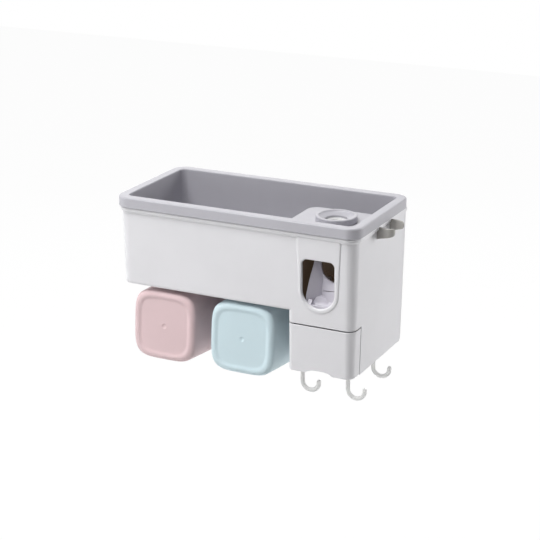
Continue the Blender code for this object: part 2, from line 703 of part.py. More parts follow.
def tube_collar(grey):
    """Funnel that guides the neck of the toothpaste tube."""
    centre = (DISPENSER_X, at_depth(COLLAR_DEPTH))
    base = at_drop(PLATFORM_DROP) + CLEAR
    top = base + COLLAR_HEIGHT
    lip_z = (top - COLLAR_TAPER, top - COLLAR_TAPER / 3, top)
    lip = [(COLLAR_RADIUS - COLLAR_TAPER * share, z) for share, z in zip(COLLAR_LIP_SHARES, lip_z)]
    neck = [(COLLAR_NECK_RADIUS, base - COLLAR_NECK_LENGTH), (COLLAR_NECK_RADIUS, base)]
    collar = turned("tube_collar", centre, [*neck, (COLLAR_RADIUS, base), *lip], ROUND_STEPS + SMALL_STEPS)
    cut(collar, turned("funnel", centre, [
        (COLLAR_BORE_RADIUS, base - COLLAR_NECK_LENGTH - OVERRUN),
        (COLLAR_BORE_RADIUS, base + COLLAR_HEIGHT * FUNNEL_THROAT_SHARE),
        (FUNNEL_RADIUS * FUNNEL_SHARE, top - COLLAR_HEIGHT * FUNNEL_LIP_SHARE),
        (FUNNEL_RADIUS, top), (FUNNEL_RADIUS, top + OVERRUN)], ROUND_STEPS + SMALL_STEPS))
    return finish(collar, grey)


def tube_seal(silicone):
    """Soft ring that grips the tube's neck inside the collar."""
    centre = (DISPENSER_X, at_depth(COLLAR_DEPTH))
    bottom = at_drop(PLATFORM_DROP) + CLEAR - COLLAR_NECK_LENGTH
    seal = turned("tube_seal", centre, [(COLLAR_BORE_RADIUS - CLEAR, bottom),
                                        (COLLAR_BORE_RADIUS - CLEAR, bottom + SEAL_THICKNESS)])
    cut(seal, turned("hole", centre, [(SEAL_INNER_RADIUS, bottom - OVERRUN),
                                      (SEAL_INNER_RADIUS, bottom + OVERRUN)]))
    return finish(seal, silicone)


def dispenser_bezel(white):
    """Proud front cover with the brush window."""
    top_z = BEZEL_TOP_Z
    full = bezel_outline(BEZEL_TOP_HALF, BEZEL_HALF, BEZEL_Z, top_z)
    soft = bezel_outline(BEZEL_TOP_HALF - BEZEL_PROUD, BEZEL_HALF - BEZEL_PROUD,
                         BEZEL_Z + BEZEL_PROUD, top_z - BEZEL_PROUD)
    bezel = along_front("dispenser_bezel", [
        (-BEZEL_PROUD, soft), (-BEZEL_PROUD / 2, bezel_outline(
            BEZEL_TOP_HALF - BEZEL_PROUD / 3, BEZEL_HALF - BEZEL_PROUD / 3,
            BEZEL_Z + BEZEL_PROUD / 3, top_z - BEZEL_PROUD / 3)),
        (0, full), (BEZEL_THICKNESS, full)])
    cut(bezel, along_front("window", [
        (-OVERRUN, window_outline(BEZEL_PROUD)), (-BEZEL_PROUD, window_outline(BEZEL_PROUD)),
        (0, window_outline()), (OVERRUN, window_outline())]))
    return finish(bezel, white)


def squeezer_housing(dark):
    """Dark box behind the bezel that holds the pump and the lever's pin."""
    left, right = DISPENSER_X - HOUSING_WIDTH / 2, DISPENSER_X + HOUSING_WIDTH / 2
    front, rear = at_depth(HOUSING_FRONT), at_depth(HOUSING_FRONT + HOUSING_DEPTH)
    low, high = HOUSING_FLOOR_Z, HOUSING_TOP_Z
    housing = block("squeezer_housing", (left, front, low), (right, rear, high))
    inside = HOUSING_WALL
    cut(housing,
        block("inside", (left + inside, front - OVERRUN, low + inside),
              (right - inside, rear - inside, high - inside)),
        turned("neck_hole", (DISPENSER_X, at_depth(COLLAR_DEPTH)),
               [(COLLAR_NECK_RADIUS, high - OVERRUN), (COLLAR_NECK_RADIUS, high + OVERRUN)]))
    pin_y, pin_z = at_depth(LEVER_PIVOT_DEPTH), at_drop(LEVER_PIVOT_DROP)
    cut(housing, rod("pin_hole", (left - OVERRUN, pin_y, pin_z), (right + OVERRUN, pin_y, pin_z),
                     LEVER_PIN_RADIUS + CLEAR / 2))
    for x, y in housing_screw_places():
        cut(housing, rod("hole", (x, y, low - OVERRUN), (x, y, low + OVERRUN / 2), SCREW_RADIUS + CLEAR))
    return finish(housing, dark)


def lever_pivot_pin(steel):
    """Steel pin that the lever swings on, held in the housing's two sides."""
    reach = HOUSING_WIDTH / 2
    y, z = at_depth(LEVER_PIVOT_DEPTH), at_drop(LEVER_PIVOT_DROP)
    return finish(rod("lever_pivot_pin", (DISPENSER_X - reach, y, z), (DISPENSER_X + reach, y, z),
                      LEVER_PIN_RADIUS), steel)


def lever_sections():
    """Half width, crease set-back and height of the lever's levels from hub to cradle."""
    neck, flare = CRADLE_Z + LEVER_NECK_RISE, CRADLE_Z + LEVER_FLARE_RISE
    wing = CRADLE_Z + LEVER_WING_RISE
    heights = [at_drop(LEVER_PIVOT_DROP), neck, (neck + flare) / 2, flare, (flare + wing) / 2, wing,
               CRADLE_Z - LEVER_THICKNESS / 2]
    halves = [LEVER_NECK_HALF * share for share in LEVER_NECK_SHARES]
    halves += [LEVER_WING_HALF * LEVER_FLARE_SHARE, LEVER_WING_HALF, LEVER_WING_HALF, LEVER_WING_HALF]
    return [(half, LEVER_CREASE_SET * share, z)
            for half, share, z in zip(halves, LEVER_CREASE_SHARES, heights)]


def push_lever(lilac):
    """Lever the brush pushes: hub, neck, creased wings, cradle with two prongs and a pusher."""
    front = at_depth(LEVER_DEPTH)
    rings = []
    for half, crease, z in lever_sections():
        rings.append([(DISPENSER_X - half, front, z), (DISPENSER_X, front + crease, z),
                      (DISPENSER_X + half, front, z), (DISPENSER_X + half, front + LEVER_THICKNESS, z),
                      (DISPENSER_X, front + crease + LEVER_THICKNESS, z),
                      (DISPENSER_X - half, front + LEVER_THICKNESS, z)])
    lever = loft("push_lever", rings)
    pin_y, pin_z = at_depth(LEVER_PIVOT_DEPTH), at_drop(LEVER_PIVOT_DROP)
    half_hub = LEVER_HUB_LENGTH / 2
    add(lever, rod("hub", (DISPENSER_X - half_hub, pin_y, pin_z), (DISPENSER_X + half_hub, pin_y, pin_z),
                   LEVER_HUB_RADIUS, SMALL_STEPS + SMALL_STEPS // 2))
    shelf_top = CRADLE_Z
    rear = front + LEVER_CREASE_SET + LEVER_THICKNESS + CLEAR
    fore = rear - CRADLE_REACH - LEVER_THICKNESS
    shelf_half = LEVER_WING_HALF + CLEAR
    add(lever, block("shelf", (DISPENSER_X - shelf_half, fore, shelf_top - LEVER_THICKNESS),
                     (DISPENSER_X + shelf_half, rear, shelf_top)))
    for side in (-1, 1):
        outer = DISPENSER_X + side * LEVER_WING_HALF
        inner = outer - side * PRONG_WIDTH
        add(lever, block("prong", (min(outer, inner), fore + LAP, shelf_top - LEVER_THICKNESS / 2),
                         (max(outer, inner), fore + PRONG_WIDTH, shelf_top + PRONG_HEIGHT)))
    start = front + LEVER_CREASE_SET * PUSHER_START_SHARE
    add(lever, block("pusher", (DISPENSER_X - PUSHER_HALF, start, PLUNGER_Z - PUSHER_HALF),
                     (DISPENSER_X + PUSHER_HALF, at_depth(PUSHER_DEPTH), PLUNGER_Z + PUSHER_HALF)))
    cut(lever, rod("pin_hole", (DISPENSER_X - HOUSING_WIDTH, pin_y, pin_z),
                   (DISPENSER_X + HOUSING_WIDTH, pin_y, pin_z), LEVER_PIN_RADIUS + CLEAR / 2))
    return finish(lever, lilac, (DISPENSER_X, pin_y, pin_z))


def lever_spring(steel):
    """Torsion spring wound round the lever's pin, with one leg up to the housing's top."""
    pin = Vector((DISPENSER_X + LEVER_HUB_LENGTH / 2, at_depth(LEVER_PIVOT_DEPTH), at_drop(LEVER_PIVOT_DROP)))
    pitch = SPRING_WIRE_RADIUS * SPRING_PITCH_SHARE
    start_x = pin.x + CLEAR + SPRING_WIRE_RADIUS * SPRING_START_SHARE
    points = [(start_x, pin.y + SPRING_RADIUS, pin.z - SPRING_RADIUS)]
    for step in range(SPRING_TURNS * SPRING_STEPS + 1):
        angle = math.tau * step / SPRING_STEPS
        points.append((start_x + pitch * step / SPRING_STEPS, pin.y + SPRING_RADIUS * math.cos(angle),
                       pin.z + SPRING_RADIUS * math.sin(angle)))
    ceiling = HOUSING_TOP_Z - HOUSING_WALL - CLEAR - SPRING_WIRE_RADIUS
    last = points[-1]
    points.append((last[0] + SPRING_WIRE_RADIUS, last[1], ceiling))
    curve = bpy.data.curves.new("lever_spring", "CURVE")
    curve.dimensions = "3D"
    spline = curve.splines.new("POLY")
    spline.points.add(len(points) - 1)
    for target, point in zip(spline.points, points):
        target.co = (*point, 1)
    curve.bevel_depth = SPRING_WIRE_RADIUS
    curve.bevel_resolution = 1
    curve.render_resolution_u = 0
    curve.use_fill_caps = True
    curve.materials.append(steel)
    spring = bpy.data.objects.new("lever_spring", curve)
    bpy.context.collection.objects.link(spring)
    return spring


def pump_body(pale):
    """Block below the seal: paste falls down its throat to the plunger's bore."""
    front, rear = at_depth(PUMP_FRONT), at_depth(PUMP_FRONT + PUMP_DEPTH)
    low, high = HOUSING_FLOOR_Z + PUMP_FOOT, HOUSING_TOP_Z - HOUSING_WALL - CLEAR
    left, right = DISPENSER_X - PUMP_HALF, DISPENSER_X + PUMP_HALF
    body = block("pump_body", (left, front, low), (right, rear, high))
    throat_y = at_depth(COLLAR_DEPTH)
    cut(body, rod("bore", (DISPENSER_X, front - OVERRUN, PLUNGER_Z),
                  (DISPENSER_X, front + PUMP_BORE_DEPTH, PLUNGER_Z), PUMP_BORE_RADIUS, ROUND_STEPS))
    cut(body, rod("throat", (DISPENSER_X, throat_y, PLUNGER_Z), (DISPENSER_X, throat_y, high + OVERRUN),
                  SEAL_INNER_RADIUS, ROUND_STEPS))
    housing_floor = HOUSING_FLOOR_Z + HOUSING_WALL + CLEAR
    add(body, block("foot", (DISPENSER_X - PUSHER_HALF, rear - PUSHER_HALF, housing_floor),
                    (DISPENSER_X + PUSHER_HALF, rear, low + CLEAR)))
    return finish(body, pale)


def pump_plunger(pale):
    """Piston that the lever's pusher drives into the pump, with a round nose."""
    z = PLUNGER_Z
    nose = at_depth(PUSHER_DEPTH) + PLUNGER_GAP
    head = at_depth(PUMP_FRONT) + PLUNGER_GAP
    radii = [(nose + PLUNGER_STEM_RADIUS * along, PLUNGER_STEM_RADIUS * wide)
             for along, wide in zip(NOSE_LENGTH_SHARES, NOSE_RADIUS_SHARES)]
    radii += [(head, PLUNGER_STEM_RADIUS), (head, PLUNGER_HEAD_RADIUS),
              (head + PLUNGER_HEAD_LENGTH, PLUNGER_HEAD_RADIUS)]
    plunger = facing("pump_plunger", [(y, [(DISPENSER_X + u, z + v) for u, v in circle(radius)])
                                      for y, radius in radii])
    return finish(plunger, pale, (DISPENSER_X, nose, z))


def paste_nozzle(silicone):
    """Bent spout from the pump's front to above the brush."""
    y, front = at_depth(PUMP_FRONT - NOZZLE_REACH), at_depth(PUMP_FRONT) - CLEAR
    z = WINDOW_TOP_Z + NOZZLE_RISE
    end = (DISPENSER_X, y - NOZZLE_RADIUS / 2, z)
    nozzle = rod("paste_nozzle", (DISPENSER_X, front, z), end, NOZZLE_RADIUS - CLEAR)
    tip_z = z - NOZZLE_LENGTH
    add(nozzle, rod("spout", (DISPENSER_X, y, z + NOZZLE_RADIUS / 2), (DISPENSER_X, y, tip_z),
                    NOZZLE_RADIUS, end_radius=NOZZLE_BORE_RADIUS * NOZZLE_TIP_SHARE))
    below = (DISPENSER_X, y, tip_z - OVERRUN)
    cut(nozzle, rod("outlet", (DISPENSER_X, y, z), below, NOZZLE_BORE_RADIUS))
    return finish(nozzle, silicone)


def drawer_sides():
    """Left and right faces of the drawer's box."""
    left = TOWER_LEFT + WALL + CLEAR + DRAWER_FLANGE + RUNNER_GAP
    right = HALF_WIDTH - body_inset(TOWER_Z) - WALL - CLEAR - DRAWER_FLANGE - RUNNER_GAP
    return left, right


def drawer(white):
    """Drawer with a front that wraps the tower's corners and an arched finger notch."""
    top, bottom = SEAM_Z - SEAM_GAP, TOWER_Z
    rear = at_depth(WRAP_DEPTH)
    edge = TUB_EDGE / 6
    front = upright("drawer", [
        (bottom, tower_outline(bottom, edge, rear)), (bottom + edge, tower_outline(bottom, 0, rear)),
        (top - edge, tower_outline(top, 0, rear)), (top, tower_outline(top, edge, rear))])
    behind = rear + OVERRUN
    cut(front, upright("hollow", [(bottom - OVERRUN, tower_outline(bottom, DRAWER_FRONT_WALL, behind)),
                                  (top + OVERRUN, tower_outline(top, DRAWER_FRONT_WALL, behind))]))
    left, right = drawer_sides()
    low, high = DRAWER_FLOOR_Z, DRAWER_TOP_Z
    start = FRONT_Y + body_inset(TOWER_Z) + DRAWER_FRONT_WALL / 2
    end = DRAWER_REAR_Y
    corner = RIM_CORNER - body_inset(TOWER_Z) - DRAWER_FRONT_WALL / 2
    box = upright("box", [(z, rounded([(left, start, TOWER_LEFT_CORNER), (right, start, corner),
                                       (right, end, DRAWER_CORNER), (left, end, DRAWER_CORNER)]))
                          for z in (low, high)])
    add(front, box)
    flange_z = high - DRAWER_FLANGE_THICKNESS
    add(front, block("flange", (left - DRAWER_FLANGE, rear + CLEAR * 2, flange_z),
                     (right + DRAWER_FLANGE, end - DRAWER_CORNER, high)))
    inner = rounded([(left + DRAWER_WALL, start + DRAWER_WALL, TOWER_LEFT_CORNER),
                     (right - DRAWER_WALL, start + DRAWER_WALL, corner),
                     (right - DRAWER_WALL, end - DRAWER_WALL, DRAWER_CORNER),
                     (left + DRAWER_WALL, end - DRAWER_WALL, DRAWER_CORNER)])
    cut(front, upright("inside", [(low + DRAWER_WALL, inner), (high + OVERRUN, inner)]))
    wide = NOTCH_HALF * NOTCH_MOUTH_SHARE
    notch = [(DISPENSER_X + wide, bottom - OVERRUN), (DISPENSER_X - wide, bottom - OVERRUN),
             (DISPENSER_X - wide, bottom)]
    for step in range(2 * ARC_STEPS + 1):
        share = step / ARC_STEPS - 1
        rise = NOTCH_HEIGHT * math.cos(share * share * math.pi / 2)
        notch.append((DISPENSER_X + NOTCH_HALF * share, bottom + rise))
    notch.append((DISPENSER_X + wide, bottom))
    mouth = start + DRAWER_FRONT_WALL / 2
    cut(front, facing("notch", [(FRONT_Y, notch), (mouth, notch)]))
    return finish(front, white, (DISPENSER_X, rear, bottom))


def drawer_runner(name, side, steel):
    """Runner fixed inside the tower wall, under the drawer's flange."""
    left, right = drawer_sides()
    top = DRAWER_TOP_Z - DRAWER_FLANGE_THICKNESS - CLEAR
    if side < 0:
        inner, outer = left - RUNNER_GAP, TOWER_LEFT + WALL + CLEAR
    else:
        inner, outer = right + RUNNER_GAP, HALF_WIDTH - body_inset(top - RUNNER_HEIGHT) - WALL - CLEAR
    return finish(block(name, (min(inner, outer), at_depth(RUNNER_FRONT), top - RUNNER_HEIGHT),
                        (max(inner, outer), RUNNER_REAR_Y, top)), steel)


def hook_places():
    """Name, X and Y of each swivel hook."""
    left, right = TOWER_LEFT + HOOK_LEFT_GAP, HALF_WIDTH - HOOK_RIGHT_INSET
    front, rear = at_depth(HOOK_FRONT_DEPTH), PANEL_FRONT_Y - HOOK_REAR_GAP
    return [("front_left", left, front), ("front_right", right, front), ("rear_right", right, rear)]


def floor_plate(white):
    """Floor of the tower: carries the hooks, and leaves room for a finger under the drawer."""
    extra = WALL + CLEAR
    front_extra = DRAWER_FRONT_WALL + CLEAR
    front, rear = at_depth(FLOOR_FRONT), PANEL_FRONT_Y - CLEAR
    left = TOWER_LEFT + extra
    right = HALF_WIDTH - body_inset(TOWER_Z) - extra
    corner = RIM_CORNER - body_inset(TOWER_Z) - extra
    outline = rounded([(left, front, TUB_EDGE), (right, front, corner * FLOOR_CORNER_SHARE),
                       (right, rear, 0), (left, rear, 0)])
    plate = upright("floor_plate", [(TOWER_Z, outline), (TOWER_Z + FLOOR_THICKNESS, outline)])
    tab_y = PANEL_FRONT_Y - HOOK_REAR_GAP + TAB_WIDTH
    add(plate, block("tab", (right - TAB_WIDTH / 2, tab_y, TOWER_Z - TAB_HEIGHT),
                     (right, tab_y + TAB_WIDTH, TOWER_Z + FLOOR_THICKNESS / 2)))
    scallop = rectangle(DISPENSER_X - SCALLOP_HALF, DISPENSER_X + SCALLOP_HALF, front - OVERRUN,
                        at_depth(SCALLOP_DEPTH), TUB_EDGE, SCALLOP_CORNER)
    cut(plate, upright("scallop", [(TOWER_Z - OVERRUN, scallop), (TOWER_Z + OVERRUN, scallop)]))
    holes = [(x, y, HOOK_WIRE_RADIUS) for _, x, y in hook_places()]
    holes += [(x, y, SCREW_RADIUS) for x, y in floor_screw_places()]
    for x, y, radius in holes:
        cut(plate, rod("hole", (x, y, TOWER_Z - OVERRUN), (x, y, TOWER_Z + OVERRUN), radius + CLEAR))
    return finish(plate, white)


def hook(name, x, y, clear_grey):
    """J-shaped swivel hook with its stem through the floor plate."""
    bend_z = TOWER_Z - HOOK_DROP + HOOK_BEND_RADIUS + HOOK_WIRE_RADIUS
    stem_top = TOWER_Z + FLOOR_THICKNESS + CLEAR + HOOK_CAP_HEIGHT / 2
    path = [(x, stem_top), (x, TOWER_Z - HOOK_WIRE_RADIUS), (x, bend_z)]
    for step in range(1, 2 * ARC_STEPS + 1):
        angle = math.pi + math.pi * step / (2 * ARC_STEPS)
        path.append((x + HOOK_BEND_RADIUS + HOOK_BEND_RADIUS * math.cos(angle),
                     bend_z + HOOK_BEND_RADIUS * math.sin(angle)))
    path.append((x + 2 * HOOK_BEND_RADIUS, bend_z + HOOK_TIP_RISE))
    curve = bpy.data.curves.new(name, "CURVE")
    curve.dimensions = "3D"
    spline = curve.splines.new("POLY")
    spline.points.add(len(path) - 1)
    for target, (px, pz) in zip(spline.points, path):
        target.co = (px - x, 0, pz - TOWER_Z, 1)
    curve.bevel_depth = HOOK_WIRE_RADIUS
    curve.bevel_resolution = 4
    curve.render_resolution_u = 0
    curve.use_fill_caps = True
    curve.materials.append(clear_grey)
    solid = bpy.data.objects.new(name, curve)
    bpy.context.collection.objects.link(solid)
    solid.location = (x, y, TOWER_Z)
    return solid


def hook_cap(name, x, y, clear_grey):
    """Cap that keeps a hook's stem from dropping through the floor plate."""
    base = TOWER_Z + FLOOR_THICKNESS + CLEAR
    top = base + HOOK_CAP_HEIGHT
    cap = turned(name, (x, y), [(HOOK_CAP_RADIUS, base), (HOOK_CAP_RADIUS, top - CLEAR),
                                (HOOK_CAP_RADIUS - CLEAR, top)])
    cut(cap, turned("hole", (x, y), [(HOOK_WIRE_RADIUS + CLEAR / 2, base - OVERRUN),
                                     (HOOK_WIRE_RADIUS + CLEAR / 2, base + OVERRUN)], SMALL_STEPS * 2))
    return finish(cap, clear_grey, (x, y, base))


def side_clip(clear_grey):
    """Forked clip on the right wall: its front arm bows out and curls in, its rear arm leans in."""
    top, bottom = at_drop(CLIP_TOP_DROP), at_drop(CLIP_TOP_DROP + CLIP_HEIGHT)
    wall_x = HALF_WIDTH - body_inset(bottom) + CLEAR + DRAFT_SHARE * CLIP_HEIGHT
    tip_x = wall_x + CLIP_REACH
    front, rear = at_depth(CLIP_FRONT_DEPTH), at_depth(CLIP_REAR_DEPTH)
    thick, toe, curl = CLIP_THICKNESS, CLIP_TOE_IN, CLIP_REACH * CLIP_CURL_SHARE
    flare, bow, bend = CLIP_FLARE, CLIP_FLARE * CLIP_BOW_SHARE, curl * CLIP_BEND_SHARE
    end, knee, inner = thick * CLIP_END_SHARE, tip_x - curl, thick * CLIP_INNER_SHARE
    arm = [(wall_x, 0, 0), (knee, -flare, curl), (tip_x, -bow, bend), (tip_x, toe, end),
           (tip_x - thick, toe, end), (tip_x - thick, inner - bow, bend * CLIP_BEND_SHARE),
           (knee, thick - flare, bend), (wall_x + thick, thick, thick)]
    lean, sweep, dip = CLIP_REAR_LEAN, CLIP_REACH * CLIP_LEAN_SHARE, CLIP_REAR_LEAN * CLIP_BOW_SHARE
    rear_arm = [(wall_x + thick, -thick, thick), (tip_x - sweep, -dip - thick, sweep),
                (tip_x - end, -lean - thick, end), (tip_x, -lean, end), (tip_x - sweep, -dip, sweep),
                (wall_x, 0, 0)]
    outline = rounded([(x, front + y, radius) for x, y, radius in arm]
                      + [(x, rear + y, radius) for x, y, radius in rear_arm], CLIP_STEPS)
    clip = upright("side_clip", [(bottom, outline), (top, outline)])
    side = [(wall_x - OVERRUN, bottom - OVERRUN), (tip_x + OVERRUN, bottom - OVERRUN),
            (tip_x + OVERRUN, top - CLIP_TIP_HEIGHT), (tip_x, top - CLIP_TIP_HEIGHT),
            (wall_x + thick, bottom), (wall_x - OVERRUN, bottom)]
    ahead, behind = front - flare - OVERRUN, rear + OVERRUN
    cut(clip, facing("underside", [(ahead, side), (behind, side)]))
    bead_x = HALF_WIDTH - BODY_INSET + BEAD_PROUD + CLEAR
    bead_z = BAND_Z - BEAD_HEIGHT - 2 * CLEAR
    cut(clip, block("bead_room", (wall_x - OVERRUN, ahead, bead_z), (bead_x, behind, top + OVERRUN)))
    return finish(clip, clear_grey)


def cup_frame(gap, index):
    """Matrix from the cup's own axes, +Y along its axis to the mouth, to the world."""
    centre = (-HALF_WIDTH + CUP_LEFT_INSET + index * CUP_PITCH, at_depth(CUP_FACE_DEPTH), CUP_Z - gap)
    return Matrix.Translation(centre) @ Matrix.Rotation(-math.radians(CUP_TILT_DEG), 4, "X")


def cup_ring(along, half_width, half_height):
    """Points of a cup's section at a distance along its axis."""
    return [(x, along, z) for x, z in squircle(half_width, half_height)]


def cup(name, gap, index, plastic):
    """Open cup lying with its recessed base to the room and its mouth to the wall."""
    half_w, half_h = CUP_WIDTH / 2, CUP_HEIGHT / 2
    inset = CUP_RECESS_INSET
    outer = [(CUP_RECESS, -inset - CUP_RECESS), (CUP_RECESS * CUP_RECESS_SHARE, -inset),
             (0, CUP_RECESS / 2 - inset)]
    for step in range(FILLET_STEPS + 1):
        angle = math.pi / 2 * (1 - step / FILLET_STEPS)
        outer.append((CUP_FILLET * (1 - math.sin(angle)), -CUP_FILLET * (1 - math.cos(angle))))
    outer += [(CUP_LENGTH - CUP_WALL / 4, CUP_FLARE), (CUP_LENGTH, CUP_FLARE - CUP_WALL / 4)]
    inner = [(CUP_LENGTH, CUP_FLARE - CUP_WALL * 3 / 4), (CUP_LENGTH - CUP_WALL / 4, CUP_FLARE - CUP_WALL),
             (CUP_BASE + CUP_FILLET, -CUP_WALL), (CUP_BASE + CUP_RECESS, -CUP_WALL - CUP_FILLET)]
    rings = [cup_ring(along, half_w + grow, half_h + grow) for along, grow in outer + inner]
    solid = loft(name, rings)
    place = cup_frame(gap, index)
    dot = loft("dot", [[(x, y, z) for x, z in circle(CUP_DOT_RADIUS, SMALL_STEPS)]
                       for y in (-OVERRUN, CUP_RECESS + CUP_DOT_DEPTH)])
    cut(solid, dot)
    solid = finish(solid, plastic)
    solid.matrix_world = place
    return solid


def cup_seat(name, gap, index, white):
    """Hollow plug on the back panel that the cup's mouth slides over."""
    place = cup_frame(gap, index)
    half_w = CUP_WIDTH / 2 + CUP_FLARE - CUP_WALL - CLEAR
    half_h = CUP_HEIGHT / 2 + CUP_FLARE - CUP_WALL - CLEAR
    slack = CUP_FLARE * SEAT_DEPTH / CUP_LENGTH + CLEAR
    start = CUP_LENGTH - SEAT_DEPTH
    far = CUP_LENGTH + OVERRUN * 3
    seat = loft(name, [cup_ring(start, half_w - slack - CLEAR, half_h - slack - CLEAR),
                       cup_ring(start + CLEAR * 2, half_w - slack, half_h - slack),
                       cup_ring(far, half_w - slack, half_h - slack)])
    thin = SEAT_WALL + slack
    cut(seat, loft("hollow", [cup_ring(start - OVERRUN, half_w - thin, half_h - thin),
                              cup_ring(far + OVERRUN, half_w - thin, half_h - thin)]))
    seat.data.transform(place)
    face = PANEL_FRONT_Y - CLEAR
    cut(seat, block("wall", (-RIM_WIDTH, face, -RIM_WIDTH), (RIM_WIDTH, face + RIM_DEPTH, RIM_WIDTH)))
    return finish(seat, white)


def build():
    """Make every piece of the dispenser."""
    for old in list(bpy.data.objects):
        bpy.data.objects.remove(old)
    white = principled("white_abs", (0.82, 0.82, 0.84), 0.38)
    grey = principled("grey_abs", (0.46, 0.45, 0.50), 0.45)
    dark = principled("dark_housing", (0.02, 0.015, 0.012), 0.6)
    lilac = principled("lever_plastic", (0.68, 0.66, 0.72), 0.4)
    pale = principled("pump_plastic", (0.75, 0.75, 0.78), 0.45)
    silicone = principled("silicone", (0.80, 0.80, 0.80), 0.55)
    clear_grey = principled("frosted_plastic", (0.72, 0.72, 0.70), 0.35)
    pink = principled("pink_plastic", (0.76, 0.55, 0.57), 0.5)
    blue = principled("blue_plastic", (0.56, 0.70, 0.76), 0.5)
    steel = principled("steel", (0.62, 0.62, 0.64), 0.3, 1.0)
    pad = principled("clear_adhesive", (0.85, 0.87, 0.88), 0.2)
    body_shell(white)
    back_panel(white)
    wall_plate(white)
    adhesive_pad(pad)
    storage_tray(grey)
    tube_collar(grey)
    tube_seal(silicone)
    dispenser_bezel(white)
    squeezer_housing(dark)
    lever_pivot_pin(steel)
    push_lever(lilac)
    lever_spring(steel)
    pump_body(pale)
    pump_plunger(pale)
    paste_nozzle(silicone)
    drawer(white)
    drawer_runner("drawer_runner_left", -1, pale)
    drawer_runner("drawer_runner_right", 1, pale)
    floor_plate(white)
    for place, x, y in hook_places():
        hook("hook_" + place, x, y, clear_grey)
        hook_cap("hook_cap_" + place, x, y, clear_grey)
    side_clip(clear_grey)
    for name, gap, index, plastic in (("pink", CUP_LEFT_GAP, 0, pink), ("blue", CUP_RIGHT_GAP, 1, blue)):
        cup("cup_" + name, gap, index, plastic)
        cup_seat("cup_seat_" + name, gap, index, white)
    below = CLEAR + SCREW_HEAD_HEIGHT
    for k, (x, z) in enumerate(boss_places(), 1):
        screw(f"back_screw_{k}", (x, SHELL_REAR_Y - CLEAR / 2, z), (0, -1, 0), steel)
    for k, (x, y) in enumerate(housing_screw_places(), 1):
        screw(f"housing_screw_{k}", (x, y, FLOOR_Z - below), (0, 0, 1), steel)
    for k, (x, y) in enumerate(floor_screw_places(), 1):
        screw(f"floor_screw_{k}", (x, y, TOWER_Z - below), (0, 0, 1), steel)


build()
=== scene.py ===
"""Looks of a wall-hung toothpaste dispenser with a tray, two cups, a drawer and swivel hooks.

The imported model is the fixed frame. The classes below build the pieces that need finer forms than
the frame has, and give every piece a procedural finish. All lengths are in metres, with +Z up,
the wall at y = 0 and the room towards -Y.
"""

import logging
import math
from dataclasses import dataclass
from enum import Enum
from typing import Callable, ClassVar, Optional, Sequence, Union

import bmesh
import bpy
from mathutils import Matrix, Vector


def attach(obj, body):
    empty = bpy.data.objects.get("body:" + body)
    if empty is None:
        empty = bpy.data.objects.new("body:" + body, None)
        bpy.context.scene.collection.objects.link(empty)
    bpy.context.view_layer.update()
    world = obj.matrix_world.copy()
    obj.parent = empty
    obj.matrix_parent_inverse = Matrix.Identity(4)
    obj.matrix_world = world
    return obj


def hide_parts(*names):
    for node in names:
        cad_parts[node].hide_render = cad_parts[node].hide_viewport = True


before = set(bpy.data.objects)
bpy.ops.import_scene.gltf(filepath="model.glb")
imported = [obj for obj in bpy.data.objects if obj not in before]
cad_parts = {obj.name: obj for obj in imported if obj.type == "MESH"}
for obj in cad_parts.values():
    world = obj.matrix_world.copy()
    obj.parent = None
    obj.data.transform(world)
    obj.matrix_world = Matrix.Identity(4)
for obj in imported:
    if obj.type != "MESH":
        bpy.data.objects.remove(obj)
LOG = logging.getLogger("dispenser")
Point = tuple[float, float, float]
Flat = tuple[float, float]
Colour = tuple[float, float, float]
Lumps = tuple[float, float, float]
Flats = tuple[Flat, ...]
Sockets = dict[str, object]
Socket = bpy.types.NodeSocket
Levels = Sequence[tuple[float, Sequence[Flat]]]
Amount = Union[float, "Wave"]
X, Y, Z = range(3)


class Wave:
    """A value inside a shader, on which Python's operators add Math nodes."""

    def __init__(self, sheet: "ShaderSheet", socket: Socket) -> None:
        """Keep the socket and the sheet that it belongs to."""
        self.sheet = sheet
        self.socket = socket

    def _with(self, operation: str, first: Amount, second: Amount) -> "Wave":
        """The output of a Math node that takes two values."""
        made = self.sheet.node("Math", {"operation": operation}, {0: first, 1: second})
        return Wave(self.sheet, made.outputs[0])

    def __add__(self, other: Amount) -> "Wave":
        """Sum."""
        return self._with("ADD", self, other)

    __radd__ = __add__

    def __sub__(self, other: Amount) -> "Wave":
        """Difference."""
        return self._with("SUBTRACT", self, other)

    def __rsub__(self, other: Amount) -> "Wave":
        """Difference, with this value on the right."""
        return self._with("SUBTRACT", other, self)

    def __mul__(self, other: Amount) -> "Wave":
        """Product."""
        return self._with("MULTIPLY", self, other)

    __rmul__ = __mul__

    def __or__(self, other: Amount) -> "Wave":
        """The larger of the two."""
        return self._with("MAXIMUM", self, other)

    __ror__ = __or__

    def between(self, low: float, high: float) -> "Wave":
        """Smooth step from 0 at low to 1 at high."""
        made = self.sheet.node("MapRange", {"interpolation_type": "SMOOTHSTEP"},
                               {"Value": self, "From Min": low, "From Max": high})
        return Wave(self.sheet, made.outputs[0])


